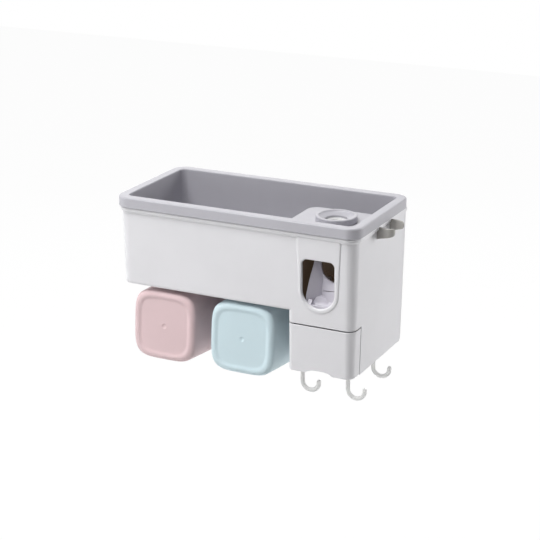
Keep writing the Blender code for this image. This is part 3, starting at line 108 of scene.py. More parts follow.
class ShaderSheet:
    """Node tree of one material or of the world, filled through one method."""

    def __init__(self, name: str, world: bool = False) -> None:
        """Start a material with a bare Principled shader, or a world with its plain background.

        Args:
            name: Name of the material or world.
            world: Whether it is a world.
        """
        self.material = (bpy.data.worlds if world else bpy.data.materials).new(name)
        self.material.use_nodes = True
        self.tree = self.material.node_tree
        self.shader = self.tree.nodes["Background" if world else "Principled BSDF"]
        self.output = self.tree.nodes["World Output" if world else "Material Output"]

    def node(self, kind: str, settings: Optional[dict] = None,
             inputs: Optional[dict] = None) -> bpy.types.Node:
        """Add a node.

        Args:
            kind: Node type, without the prefix that all have.
            settings: Its properties, which are set first.
            inputs: Values or links of its sockets, by name or index.

        Returns:
            The new node.
        """
        made = self.tree.nodes.new("ShaderNode" + kind)
        for key, value in (settings or {}).items():
            setattr(made, key, value)
        for key, value in (inputs or {}).items():
            self.feed(made.inputs[key], value)
        return made

    def feed(self, socket: Socket, value: object) -> None:
        """Link a socket, or set it to a plain value.

        Args:
            socket: Input to fill.
            value: Shader value, output socket, number, colour or vector.
        """
        if isinstance(value, (Wave, Socket)):
            self.tree.links.new(value.socket if isinstance(value, Wave) else value, socket)
        else:
            socket.default_value = (*value, 1.0) if socket.type == "RGBA" else value

    def fill(self, sockets: Sockets) -> bpy.types.Material:
        """Fill sockets of the shader.

        Args:
            sockets: Links and values, by the socket's name.

        Returns:
            The sheet's material.
        """
        for name, value in sockets.items():
            self.feed(self.shader.inputs[name], value)
        return self.material

    def noise(self, lumps: Lumps, stretch: Optional[Point] = None) -> Wave:
        """Soft noise that stays with the piece.

        Args:
            lumps: Size of a lump in metres, octaves of finer noise and the weight of these.
            stretch: Scale of the piece's coordinates along each axis.

        Returns:
            The noise, from 0 to 1.
        """
        size, detail, weight = lumps
        place = self.node("TexCoord").outputs["Object"]
        if stretch:
            place = self.node("Mapping", {"vector_type": "POINT"},
                              {"Vector": place, "Scale": stretch}).outputs["Vector"]
        made = self.node("TexNoise", {"noise_dimensions": "3D"},
                         {"Vector": place, "Scale": 1.0 / size, "Detail": detail, "Roughness": weight})
        return Wave(self, made.outputs["Fac"])

    def seen(self) -> Wave:
        """1 on the camera's rays, also once mirrored or passed through a clear piece."""
        path = self.node("LightPath").outputs
        return Wave(self, path["Is Camera Ray"]) | Wave(self, path["Is Glossy Ray"]) | Wave(
            self, path["Is Transmission Ray"])

    def edge(self, reach: float = 0.0006) -> Wave:
        """0 on even ground and 0.3 on a square edge, within reach metres of it."""
        turned = self.node("Bevel", {"samples": 4}, {"Radius": reach}).outputs["Normal"]
        return 1.0 - Wave(self, self.node("VectorMath", {"operation": "DOT_PRODUCT"}, {
            0: turned, 1: self.node("NewGeometry").outputs["Normal"]}).outputs["Value"])

    def blend(self, share: Amount, first: object, second: object) -> Socket:
        """Mix of two colours, with the weight of the second one."""
        return self.node("Mix", {"data_type": "RGBA", "blend_type": "MIX"},
                         {"Factor": share, 6: first, 7: second}).outputs[2]

    def relief(self, height: Wave, depth: float, below: Optional[Socket] = None) -> Socket:
        """Normal of a bump whose height of 1 is depth metres, laid over the normal below."""
        under = {} if below is None else {"Normal": below}
        return self.node("Bump", None, {"Height": height, "Distance": depth, "Strength": 1.0, **under}
                         ).outputs["Normal"]


@dataclass(frozen=True)
class Look:
    """What the finishes share. Each gives the shader's sockets and holds its noises as lump figures."""

    name: str
    colour: Colour
    roughness: float = 0.3
    slot: ClassVar[str] = ""

    def tone(self, factor: float) -> Colour:
        """The colour made lighter or darker by a factor."""
        return tuple(min(part * factor, 1.0) for part in self.colour)

    def material(self) -> bpy.types.Material:
        """The finish's material, made the first time that it is asked for.

        Returns:
            The material.
        """
        name = "look_" + self.name
        if name not in bpy.data.materials:
            sheet = ShaderSheet(name)
            sheet.fill(self.sockets(sheet))
        return bpy.data.materials[name]


@dataclass(frozen=True)
class MouldedPlastic(Look):
    """Injection-moulded plastic: faint flow mottling, fine spark texture, polished edges with a painted
    highlight, and an optional painted glow.
    """

    mottle: float = 0.03
    gloss: float = 0.5
    glow: float = 0.0
    painted_glow: Colour = (0.0, 0.0, 0.0)
    flow: Lumps = (0.045, 4.0, 0.55)
    grain: Lumps = (0.0006, 2.0, 0.6)
    smear: Lumps = (0.012, 3.0, 0.6)
    swell: Lumps = (0.02, 1.0, 0.4)
    grain_depth: float = 0.00002
    swell_depth: float = 0.00006
    glow_depth: float = 0.0015

    def sockets(self, sheet: ShaderSheet) -> Sockets:
        """Mottled colour with a painted highlight along the edges, smeared sheen and a bump on a bump.

        Args:
            sheet: The material's sheet.

        Returns:
            Links and values, by the socket's name.
        """
        flow = sheet.noise(self.flow).between(0.3, 0.7)
        grain = sheet.noise(self.grain)
        smear = sheet.noise(self.smear, (1.0, 1.0, 0.35))
        # The edge mask lowers the roughness there as real polish and lightens the colour as a painted
        # highlight.
        wear_and_highlight = sheet.edge().between(0.01, 0.2)
        base = sheet.blend(flow, self.tone(1 - self.mottle), self.tone(1 + self.mottle))
        made = {"Base Color": sheet.blend(wear_and_highlight * 0.25, base, self.tone(1.12)),
                "Roughness": smear * 0.16 + grain * 0.06 + (self.roughness - 0.11) - wear_and_highlight * 0.08,
                "Specular IOR Level": self.gloss,
                "Normal": sheet.relief(sheet.noise(self.swell), self.swell_depth,
                                       sheet.relief(grain, self.grain_depth))}
        # Painted light: a faint emission makes the part glow, lifting its shaded hollows.
        if any(self.painted_glow):
            made |= {"Emission Color": self.painted_glow, "Emission Strength": 1.0}
        if self.glow:
            made |= {"Subsurface Weight": self.glow, "Subsurface Radius": (0.8,) * 3,
                     "Subsurface Scale": self.glow_depth}
        return made


@dataclass(frozen=True)
class FrostedPlastic(Look):
    """Clear plastic with a frosted skin, grey where it is thick."""

    clearness: float = 0.35
    density: float = 1.49
    cloud: Lumps = (0.006, 3.0, 0.55)
    frost: Lumps = (0.0004, 2.0, 0.6)
    frost_depth: float = 0.00002
    slot: ClassVar[str] = "frosted_plastic"

    def sockets(self, sheet: ShaderSheet) -> Sockets:
        """Cloudy colour with a painted highlight along the edges, and a frosted sheen and bump.

        Args:
            sheet: The material's sheet.

        Returns:
            Links and values, by the socket's name.
        """
        frost = sheet.noise(self.frost)
        base = sheet.blend(sheet.noise(self.cloud), self.tone(0.9), self.tone(1.08))
        # The paler colour near edges is a painted highlight.
        return {"Base Color": sheet.blend(sheet.edge().between(0.01, 0.2) * 0.6, base, self.tone(1.35)),
                "Roughness": frost * 0.12 + (self.roughness - 0.06),
                "Transmission Weight": self.clearness, "IOR": self.density,
                "Normal": sheet.relief(frost, self.frost_depth)}


@dataclass(frozen=True)
class Rubber(Look):
    """Soft silicone with a matt skin and a little bloom."""

    bloom: Lumps = (0.004, 4.0, 0.6)
    skin: Lumps = (0.0003, 2.0, 0.5)
    skin_depth: float = 0.00002

    def sockets(self, sheet: ShaderSheet) -> Sockets:
        """Bloomed colour and sheen, and a fine bump."""
        bloom = sheet.noise(self.bloom)
        return {"Base Color": sheet.blend(bloom.between(0.35, 0.7), self.tone(0.92), self.tone(1.08)),
                "Roughness": bloom * 0.2 + (self.roughness - 0.1),
                "Normal": sheet.relief(sheet.noise(self.skin), self.skin_depth)}


@dataclass(frozen=True)
class DrawnSteel(Look):
    """Steel with drawing lines along one axis and a few darker spots."""

    lines: Point = (1.0, 12.0, 12.0)
    scratch: Lumps = (0.0008, 3.0, 0.65)
    spot: Lumps = (0.002, 3.0, 0.6)
    scratch_depth: float = 0.00001

    def sockets(self, sheet: ShaderSheet) -> Sockets:
        """Scratched and spotted colour and sheen, and scratches as a bump."""
        scratch, spot = sheet.noise(self.scratch, self.lines), sheet.noise(self.spot).between(0.6, 0.75)
        return {"Base Color": sheet.blend(spot * 0.4, sheet.blend(scratch, self.tone(0.86), self.tone(1.1)),
                                          self.tone(0.6)),
                "Metallic": 1.0, "Roughness": scratch * 0.2 + (self.roughness - 0.1) + spot * 0.15,
                "Normal": sheet.relief(scratch, self.scratch_depth)}


@dataclass(frozen=True)
class StickySheet(Look):
    """Clear adhesive sheet with tiny trapped bubbles."""

    clearness: float = 0.4
    bubbles: Lumps = (0.0016, 2.0, 0.5)
    cloud: Lumps = (0.012, 3.0, 0.5)
    bubble_depth: float = 0.0001

    def sockets(self, sheet: ShaderSheet) -> Sockets:
        """Bubbles and clouds in the colour and sheen, and bubbles as a bump.

        Args:
            sheet: The material's sheet.

        Returns:
            Links and values, by the socket's name.
        """
        bubbles, cloud = sheet.noise(self.bubbles).between(0.62, 0.7), sheet.noise(self.cloud)
        spotted = sheet.blend(bubbles * 0.6, self.colour, self.tone(1.1))
        return {"Base Color": sheet.blend(cloud * 0.3, spotted, self.tone(0.85)),
                "Roughness": cloud * 0.1 + self.roughness + bubbles * 0.2,
                "Transmission Weight": self.clearness,
                "Normal": sheet.relief(bubbles, self.bubble_depth)}


class Finish(Enum):
    """Finishes of the dispenser, by the name of the record's material slot."""

    WHITE = MouldedPlastic("white_abs", (0.803, 0.797, 0.821), 0.42, 0.012)
    GREY = MouldedPlastic("grey_abs", (0.49, 0.483, 0.523), 0.42, 0.02)
    # DARK and PUMP carry a faint emission: painted light that brightens the shaded inside of the brush
    # window.
    DARK = MouldedPlastic("dark_housing", (0.19, 0.145, 0.115), 0.65, 0.08, 0.3, painted_glow=(0.019, 0.0125, 0.008))
    LEVER = MouldedPlastic("lever_plastic", (0.57, 0.55, 0.61), 0.36, 0.02)
    PUMP = MouldedPlastic("pump_plastic", (0.22, 0.17, 0.14), 0.6, 0.02, 0.3, painted_glow=(0.019, 0.0125, 0.008))
    SILICONE = Rubber("silicone", (0.70, 0.70, 0.70), 0.6)
    CLIP = FrostedPlastic("clip_plastic", (0.47, 0.455, 0.43), 0.35, 0.1)
    HOOK = FrostedPlastic("hook_plastic", (0.86, 0.86, 0.85), 0.32, 0.55)
    PINK = MouldedPlastic("pink_plastic", (0.745, 0.565, 0.58), 0.5, 0.015, glow=0.15)
    BLUE = MouldedPlastic("blue_plastic", (0.625, 0.765, 0.815), 0.5, 0.015, glow=0.15)
    STEEL = DrawnSteel("steel", (0.62, 0.62, 0.64))
    STICKY = StickySheet("clear_adhesive", (0.80, 0.83, 0.84), 0.12)

    @property
    def slot(self) -> str:
        """Name of the record's material slot that the finish belongs to."""
        return self.value.slot or self.value.name


def arc_corners(corners: Sequence[tuple[float, float, float]], steps: int = 12) -> list[Flat]:
    """Outline through corners that are turned into arcs.

    Args:
        corners: Corners as x, y and radius.
        steps: Segments of each arc.

    Returns:
        The outline's points.
    """
    outline: list[Flat] = []
    for index, (x, y, radius) in enumerate(corners):
        if radius <= 0:
            outline.append((x, y))
            continue
        here = Vector((x, y))
        before = (Vector(corners[index - 1][:2]) - here).normalized()
        after = (Vector(corners[(index + 1) % len(corners)][:2]) - here).normalized()
        half = before.angle(after) / 2
        centre = here + (before + after).normalized() * (radius / math.sin(half))
        start = here + before * (radius / math.tan(half)) - centre
        end = here + after * (radius / math.tan(half)) - centre
        sweep = start.angle_signed(end)
        outline += [tuple(centre + Matrix.Rotation(-sweep * k / steps, 2) @ start) for k in range(steps + 1)]
    return outline


def box(low: Flat, high: Flat, radii: Sequence[float], steps: int = 14) -> list[Flat]:
    """Outline of a box, with the radii of its corners from the lower left one round to the upper left one."""
    corners = (low, (high[0], low[1]), high, (low[0], high[1]))
    return arc_corners([(*corner, radius) for corner, radius in zip(corners, radii)], steps)


def arc(centre: Flat, reach: Flat, first: float, last: float, steps: int) -> list[Flat]:
    """Points of an arc with two radii, from its first to its last angle in half turns, both included."""
    angles = [math.pi * (first + (last - first) * k / steps) for k in range(steps + 1)]
    return [(centre[0] + reach[0] * math.cos(angle), centre[1] + reach[1] * math.sin(angle))
            for angle in angles]


def ring_of(radius: float, steps: int, centre: Flat = (0.0, 0.0)) -> list[Flat]:
    """Points round a circle."""
    return arc(centre, (radius, radius), 0.0, 2.0, steps)[:-1]


def quarter(radius: float, steps: int = 6) -> list[Flat]:
    """Quarter round as pairs of set-in and rise, from the flat, where set-in is the radius, to the wall."""
    angles = [math.pi / 2 * k / steps for k in range(steps + 1)]
    return [(radius * (1 - math.sin(angle)), radius * (1 - math.cos(angle))) for angle in angles]


def linked(name: str, data: bpy.types.ID) -> bpy.types.Object:
    """Put an object in the scene.

    Args:
        name: Its name.
        data: Its mesh, lamp or camera.

    Returns:
        The object.
    """
    made = bpy.data.objects.new(name, data)
    bpy.context.scene.collection.objects.link(made)
    return made


class Form:
    """A mesh in the making, which ends as one piece of the dispenser."""

    replaced: ClassVar[set[str]] = set()
    weld: ClassVar[float] = 0.000004

    def __init__(self, name: str, rings: Sequence[Sequence[Point]], closed: bool = False) -> None:
        """Loft a skin through rings of equal point count.

        Args:
            name: Name of the piece.
            rings: Rings of points.
            closed: Whether the last ring joins the first one. Else both get a face.
        """
        mesh = bmesh.new()
        loops = [[mesh.verts.new(point) for point in ring] for ring in rings]
        count = len(loops[0])
        for lower, upper in list(zip(loops, loops[1:])) + ([(loops[-1], loops[0])] if closed else []):
            for k in range(count):
                mesh.faces.new((lower[k], lower[(k + 1) % count], upper[(k + 1) % count], upper[k]))
        if not closed:
            mesh.faces.new(list(reversed(loops[0])))
            mesh.faces.new(loops[-1])
        bmesh.ops.recalc_face_normals(mesh, faces=mesh.faces)
        data = bpy.data.meshes.new(name)
        mesh.to_mesh(data)
        mesh.free()
        self.piece = linked(name, data)

    @classmethod
    def stack(cls, name: str, axis: int, levels: Levels) -> "Form":
        """Solid from (place on the axis, outline across it) levels."""
        return cls(name, [[(*point[:axis], place, *point[axis:]) for point in outline]
                          for place, outline in levels])

    @classmethod
    def block(cls, name: str, low: Point, high: Point) -> "Form":
        """Square-edged box between two corners."""
        outline = box(low[:2], high[:2], (0.0,) * 4)
        return cls.stack(name, Z, [(low[2], outline), (high[2], outline)])

    @classmethod
    def rod(cls, name: str, centre: Flat, half: float, radius: float, steps: int) -> "Form":
        """Round rod along X with its centre in Y and Z, half on each side of the dispenser's middle."""
        return cls.stack(name, X, [(SIZE.middle + x, ring_of(radius, steps, centre)) for x in (-half, half)])

    @classmethod
    def turned(cls, name: str, centre: Flat, profile: Sequence[Flat], steps: int) -> "Form":
        """Ring whose section is a loop of (radius, height) points, turned about a vertical axis."""
        return cls(name, [[(x, y, z) for x, y in ring_of(radius, steps, centre)]
                          for radius, z in profile], True)

    def _settle(self) -> None:
        """Apply the piece's modifiers to its mesh."""
        graph = bpy.context.evaluated_depsgraph_get()
        result = bpy.data.meshes.new_from_object(self.piece.evaluated_get(graph))
        self.piece.modifiers.clear()
        self.piece.data = result

    def _combine(self, others: Sequence["Form"], operation: str) -> None:
        """Join other forms to this one or cut them away, and drop them.

        Args:
            others: The other forms.
            operation: The modifier's operation.
        """
        for other in others:
            modifier = self.piece.modifiers.new(operation.title(), "BOOLEAN")
            modifier.object = other.piece
            modifier.operation = operation
            modifier.solver = "EXACT"
            self._settle()
            bpy.data.objects.remove(other.piece)

    def add(self, *others: "Form") -> None:
        """Join the other forms to this one."""
        self._combine(others, "UNION")

    def cut(self, *others: "Form") -> None:
        """Cut the other forms out of this one."""
        self._combine(others, "DIFFERENCE")

    def soften(self, width: float, steps: int = 3, angle: float = 40.0,
               where: Callable[[Vector], bool] = lambda middle: True) -> "Form":
        """Round the sharp edges.

        Args:
            width: Width of the round.
            steps: Segments of the round.
            angle: Edges that bend more than this many degrees are rounded.
            where: Test of an edge's middle, which leaves out the other edges.

        Returns:
            This form.
        """
        mesh = bmesh.new()
        mesh.from_mesh(self.piece.data)
        bmesh.ops.remove_doubles(mesh, verts=mesh.verts, dist=self.weld)
        chosen = [edge for edge in mesh.edges
                  if len(edge.link_faces) == 2 and edge.calc_face_angle(0.0) > math.radians(angle)
                  and where((edge.verts[0].co + edge.verts[1].co) / 2)]
        bmesh.ops.bevel(mesh, geom=chosen, offset=width, offset_type="OFFSET", segments=steps,
                        profile=0.5, affect="EDGES", clamp_overlap=True)
        mesh.to_mesh(self.piece.data)
        mesh.free()
        return self

    def end(self, body: str, finish: Finish, *stands_for: str, sharp: float = 35.0) -> None:
        """Finish the piece: shading, material, body and the nodes that it stands for.

        Args:
            body: Body of the frame that carries it.
            finish: Its finish.
            stands_for: Nodes of the frame that it replaces.
            sharp: Edges that bend more than this many degrees stay sharp.
        """
        piece = self.piece
        piece.data.materials.clear()
        piece.data.materials.append(finish.value.material())
        piece.data.shade_smooth()
        piece.data.set_sharp_from_angle(angle=math.radians(sharp))
        even = piece.modifiers.new("Even", "WEIGHTED_NORMAL")
        even.mode = "FACE_AREA"
        even.weight = 80
        even.keep_sharp = True
        self._settle()
        if stands_for:
            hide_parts(*stands_for)
        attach(piece, body)
        finish.slot
        self.replaced.update(stands_for)
        LOG.info("%s: %d faces on %s", piece.name, len(piece.data.polygons), body)


@dataclass(frozen=True)
class Frame:
    """Outer measures that the pieces share, as the frame has them."""

    half: float = 0.130
    front: float = -0.1319
    rear: float = -0.0008
    top: float = 0.048
    band: float = 0.03775
    corner: float = 0.014
    inset: float = 0.0033
    draft: float = 0.019
    wall: float = 0.0024
    floor: float = -0.04175
    tower: float = -0.1035
    tower_left: float = 0.05709
    tower_corner: float = 0.0045
    least_corner: float = 0.0005
    seam: float = -0.0539
    panel: float = -0.0065
    clear: float = 0.0003
    middle: float = 0.0892
    lip: float = 0.0097
    lip_corner: float = 0.006
    overrun: float = 0.01

    def sink(self, z: float) -> float:
        """Inset of the drafted wall at height z."""
        return self.inset + self.draft * max(self.band - z, 0.0)

    def rim(self, inset: float) -> list[Flat]:
        """Outline of the rim set in on every side, with corners that tighten to those of its inner edge."""
        radius = max(self.corner - inset, self.lip_corner * min(inset / self.lip, 1.0))
        return box((-self.half + inset, self.front + inset), (self.half - inset, self.rear - inset),
                   (radius,) * 4)

    def body_at(self, z: float, extra: float) -> list[Flat]:
        """Outline of the drafted body at height z, set in by extra."""
        inset = self.sink(z) + extra
        return box((-self.half + inset, self.front + inset), (self.half - inset, self.panel - self.clear),
                   (self.corner - inset, self.corner - inset, 0.0, 0.0))

    def tower_at(self, z: float, extra: float, rear: float) -> list[Flat]:
        """Outline of the tower at height z, set in by extra, back to rear."""
        inset = self.sink(z) + extra
        return box((self.tower_left + extra, self.front + inset), (self.half - inset, rear),
                   (max(self.tower_corner - extra, self.least_corner), self.corner - inset, 0.0, 0.0))


SIZE = Frame()


@dataclass
class StorageTray:
    """Grey tray: a band that hangs over the casing, an L-shaped well and the dispenser's platform."""

    wall: float = 0.002
    crown: float = 0.0016
    hem: float = 0.0004
    platform_z: float = 0.040
    platform_width: float = 0.0825
    platform_depth: float = 0.079
    platform_corner: float = 0.010
    step_corner: float = 0.0022
    least_corner: float = 0.0004
    well_corner: float = 0.006
    well_fillet: float = 0.005
    recess_fillet: float = 0.0012
    floor_gap: float = 0.0006
    bore: Flat = (0.0435, 0.0133)
    bore_heights: Flat = (0.03, 0.045)
    soft: float = 0.0007
    near: Point = (0.001, 0.0005, 0.0001)

    def well(self, grow: float) -> list[Flat]:
        """L-shaped outline of the well.

        Args:
            grow: Distance that it is grown by.

        Returns:
            The outline.
        """
        left, right = -SIZE.half + SIZE.lip - grow, SIZE.half - SIZE.lip + grow
        front, rear = SIZE.front + SIZE.lip - grow, SIZE.rear - SIZE.lip + grow
        step_x = SIZE.half - self.platform_width + grow
        step_y = SIZE.front + self.platform_depth - grow
        radius = self.well_corner + grow
        small = max(self.step_corner + grow, self.least_corner)
        return arc_corners([(left, front, radius), (step_x, front, small),
                            (step_x, step_y, self.platform_corner - grow), (right, step_y, small),
                            (right, rear, radius), (left, rear, radius)], 10)

    def at_platform(self, place: Vector) -> bool:
        """Whether a point lies on the platform's outer edges."""
        return (abs(place.z - self.platform_z) < self.near[2]
                and place.x < SIZE.half - SIZE.lip - self.near[0]
                and place.y < SIZE.front + self.platform_depth + self.near[1])

    def build(self) -> None:
        """Build the tray."""
        wall, inner = self.wall, SIZE.lip - self.wall
        levels = [(SIZE.band, SIZE.rim(self.hem)), (SIZE.band + self.hem, SIZE.rim(0.0))]
        levels += [(SIZE.top - drop, SIZE.rim(inset)) for drop, inset in quarter(self.crown)]
        tray = Form.stack("tray_rim", Z, levels)
        under, high = SIZE.top - wall, SIZE.top - wall / 2
        tray.cut(Form.stack("channel", Z, [(z, SIZE.rim(wall)) for z in (SIZE.band - SIZE.overrun, under)]))
        low = SIZE.floor + SIZE.wall + self.floor_gap
        tub = [(low + rise, self.well(wall - inset * 0.4)) for inset, rise in quarter(wall, 4)]
        tray.add(Form.stack("tub", Z, tub + [(high, self.well(wall))]))
        deck = box((SIZE.half - self.platform_width + wall, SIZE.front + inner),
                   (SIZE.half - inner, SIZE.front + self.platform_depth - wall / 2),
                   (0.0, self.well_corner + wall, 0.0, 0.0), 12)
        tray.add(Form.stack("deck", Z, [(self.platform_z - wall, deck), (high, deck)]))
        well = [(low + wall + rise, self.well(-inset)) for inset, rise in quarter(self.well_fillet)]
        tray.cut(Form.stack("hollow", Z, well + [(SIZE.top + SIZE.overrun, self.well(0.0))]))
        recess = [(self.platform_z + rise, SIZE.rim(SIZE.lip + inset))
                  for inset, rise in quarter(self.recess_fillet, 4)]
        recess += [(SIZE.top - drop, SIZE.rim(SIZE.lip - inset / 2))
                   for drop, inset in quarter(self.crown, 4)]
        recess += [(SIZE.top + SIZE.overrun, SIZE.rim(SIZE.lip - self.crown / 2))]
        tray.cut(Form.stack("recess", Z, recess))
        depth, radius = self.bore
        tray.cut(Form.stack("bore", Z, [(z, ring_of(radius, 64, (SIZE.middle, SIZE.front + depth)))
                                        for z in self.bore_heights]))
        tray.soften(self.soft, 3, 50.0, self.at_platform)
        tray.end("tray", Finish.GREY, "storage_tray")


@dataclass
class TubeCollar:
    """Funnel ring on the platform with its soft seal, as radii and heights above the ring's base."""

    depth: float = 0.0435
    base: float = 0.0403
    crest: Flat = (0.02, 0.006)
    soft: float = 0.0011
    outside: Flats = ((0.013, -0.0035), (0.013, 0.0), (0.0199, 0.0), (0.0199, 0.0006))
    funnel: Flats = ((0.0175, 0.006), (0.017, 0.0058), (0.0168, 0.0053), (0.01638, 0.0048),
                     (0.015624, 0.0039), (0.0116, 0.0027), (0.0108, 0.0021), (0.0108, -0.0035))
    seal: Flats = ((0.0105, -0.0035), (0.0105, -0.0001), (0.0096, 0.0005), (0.0075, 0.0002),
                   (0.0066, -0.0004), (0.0062, -0.0013), (0.0066, -0.0033), (0.0075, -0.0035))

    def build(self) -> None:
        """Build the collar and its seal."""
        edge = [(self.crest[0] - inset, self.crest[1] - drop) for drop, inset in quarter(self.soft)]
        for name, profile, steps, finish, node in (
                ("collar_ring", (*self.outside, *edge, *self.funnel), 96, Finish.GREY, "tube_collar"),
                ("collar_seal", self.seal, 64, Finish.SILICONE, "tube_seal")):
            raised = [(radius, self.base + rise) for radius, rise in profile]
            ring = Form.turned(name, (SIZE.middle, SIZE.front + self.depth), raised, steps)
            ring.end("tray", finish, node)


@dataclass
class CasingTrim:
    """Bead below the tray's band and bezel round the brush window; the casing keeps the frame's shape."""

    bead_height: float = 0.0043
    bead_profile: Flats = ((-0.0006, 0.0), (0.0016, 0.0), (0.0018, 0.0012), (0.0019, 0.0024),
                           (0.0018, 0.0034), (0.0015, 0.0039), (0.0009, 0.0042))
    bezel_top_half: float = 0.0226
    bezel_half: float = 0.0202
    bezel_z: float = -0.0401
    bezel_corner: float = 0.0012
    proud: float = 0.0009
    thickness: float = 0.0018
    fit: float = 0.00025
    roll: float = 0.0015
    edge: Flats = ((0.0026, 1.0), (0.0018, 1.0), (0.0012, 0.94), (0.0007, 0.76), (0.0003, 0.46), (0.0, 0.1))
    edge_back: float = 0.0002
    edge_top_share: float = 0.2
    window_half: float = 0.0161
    window_left: float = 0.0172
    window_z: float = -0.036
    window_height: float = 0.0478
    window_corner: float = 0.005
    parallel: float = 1e-12
    slack: float = 1e-6

    def bezel(self, grow: float, top: float) -> list[Flat]:
        """U-shaped outline of the bezel.

        Args:
            grow: Distance that it is grown by.
            top: Height of its straight top.

        Returns:
            The outline in X and Z.
        """
        half, half_top = self.bezel_half + grow, self.bezel_top_half + grow
        centre = self.bezel_z + self.bezel_half
        outline = arc_corners([(SIZE.middle + half, centre, 0.0),
                               (SIZE.middle + half_top, top, self.bezel_corner),
                               (SIZE.middle - half_top, top, self.bezel_corner),
                               (SIZE.middle - half, centre, 0.0)], 4)
        return outline + arc((SIZE.middle, centre), (half, half), 1.0, 2.0, 35)[1:-1]

    def window(self, grow: float) -> list[Flat]:
        """Outline of the brush window, round at the bottom.

        Args:
            grow: Distance that it is grown by.

        Returns:
            The outline in X and Z.
        """
        half, left = self.window_half + grow, self.window_left + grow
        top, corner = self.window_z + self.window_height + grow, self.window_corner + grow
        middle = (SIZE.middle, self.window_z + self.window_half)
        outline = arc_corners([(SIZE.middle + half, middle[1], 0.0), (SIZE.middle + half, top, corner),
                               (SIZE.middle - left, top, corner), (SIZE.middle - left, middle[1], 0.0)], 10)
        outline += arc(middle, (left, half), 1.0, 1.5, 18)[1:-1]
        return outline + arc(middle, (half, half), 1.5, 2.0, 18)[:-1]

    def spread(self, outline: Sequence[Flat], count: int = 240) -> list[Flat]:
        """Points where evenly turned rays from the window's middle meet an outline in X and Z.

        Args:
            outline: Outline round the window's middle.
            count: Rays.

        Returns:
            One point for each ray.
        """
        middle = Vector((SIZE.middle, self.window_z + self.window_height / 2))
        corners = [Vector(point) - middle for point in outline]
        met = []
        for across, up in ring_of(1.0, count):
            ray, far = Vector((across, up)), 0.0
            for start, end in zip(corners, corners[1:] + corners[:1]):
                side = end - start
                slant = ray.cross(side)
                if abs(slant) < self.parallel:
                    continue
                along, share = start.cross(side) / slant, start.cross(ray) / slant
                if along > 0.0 and -self.slack <= share <= 1.0 + self.slack:
                    far = max(far, along)
            met.append(tuple(middle + ray * far))
        return met

    def build(self) -> None:
        """Build the bezel with its soft outer and rolled inner edge, and the bead with its lower step."""
        band, fit = SIZE.band - SIZE.clear, self.fit
        top = band - self.bead_height
        levels = [(self.thickness, self.window(0.0))]
        levels += [(rise - self.proud, self.window(set_in)) for set_in, rise in quarter(self.roll, 5)[::-1]]
        levels += [(-self.proud * lift, self.bezel(fit - set_in, top - set_in * self.edge_top_share))
                   for set_in, lift in self.edge]
        levels += [(back, self.bezel(fit, top)) for back in (self.edge_back, self.thickness)]
        rings = [[(x, SIZE.front + SIZE.sink(z) + back, z) for x, z in self.spread(outline)]
                 for back, outline in levels]
        Form("front_bezel", rings, True).end("organiser", Finish.WHITE, "dispenser_bezel", sharp=50.0)
        rings = [[(x, y, band - drop) for x, y in SIZE.body_at(band - drop, -out)]
                 for out, drop in (*self.bead_profile, (self.bead_profile[0][0], self.bead_height))]
        Form("casing_bead", rings, True).end("organiser", Finish.WHITE, sharp=40.0)


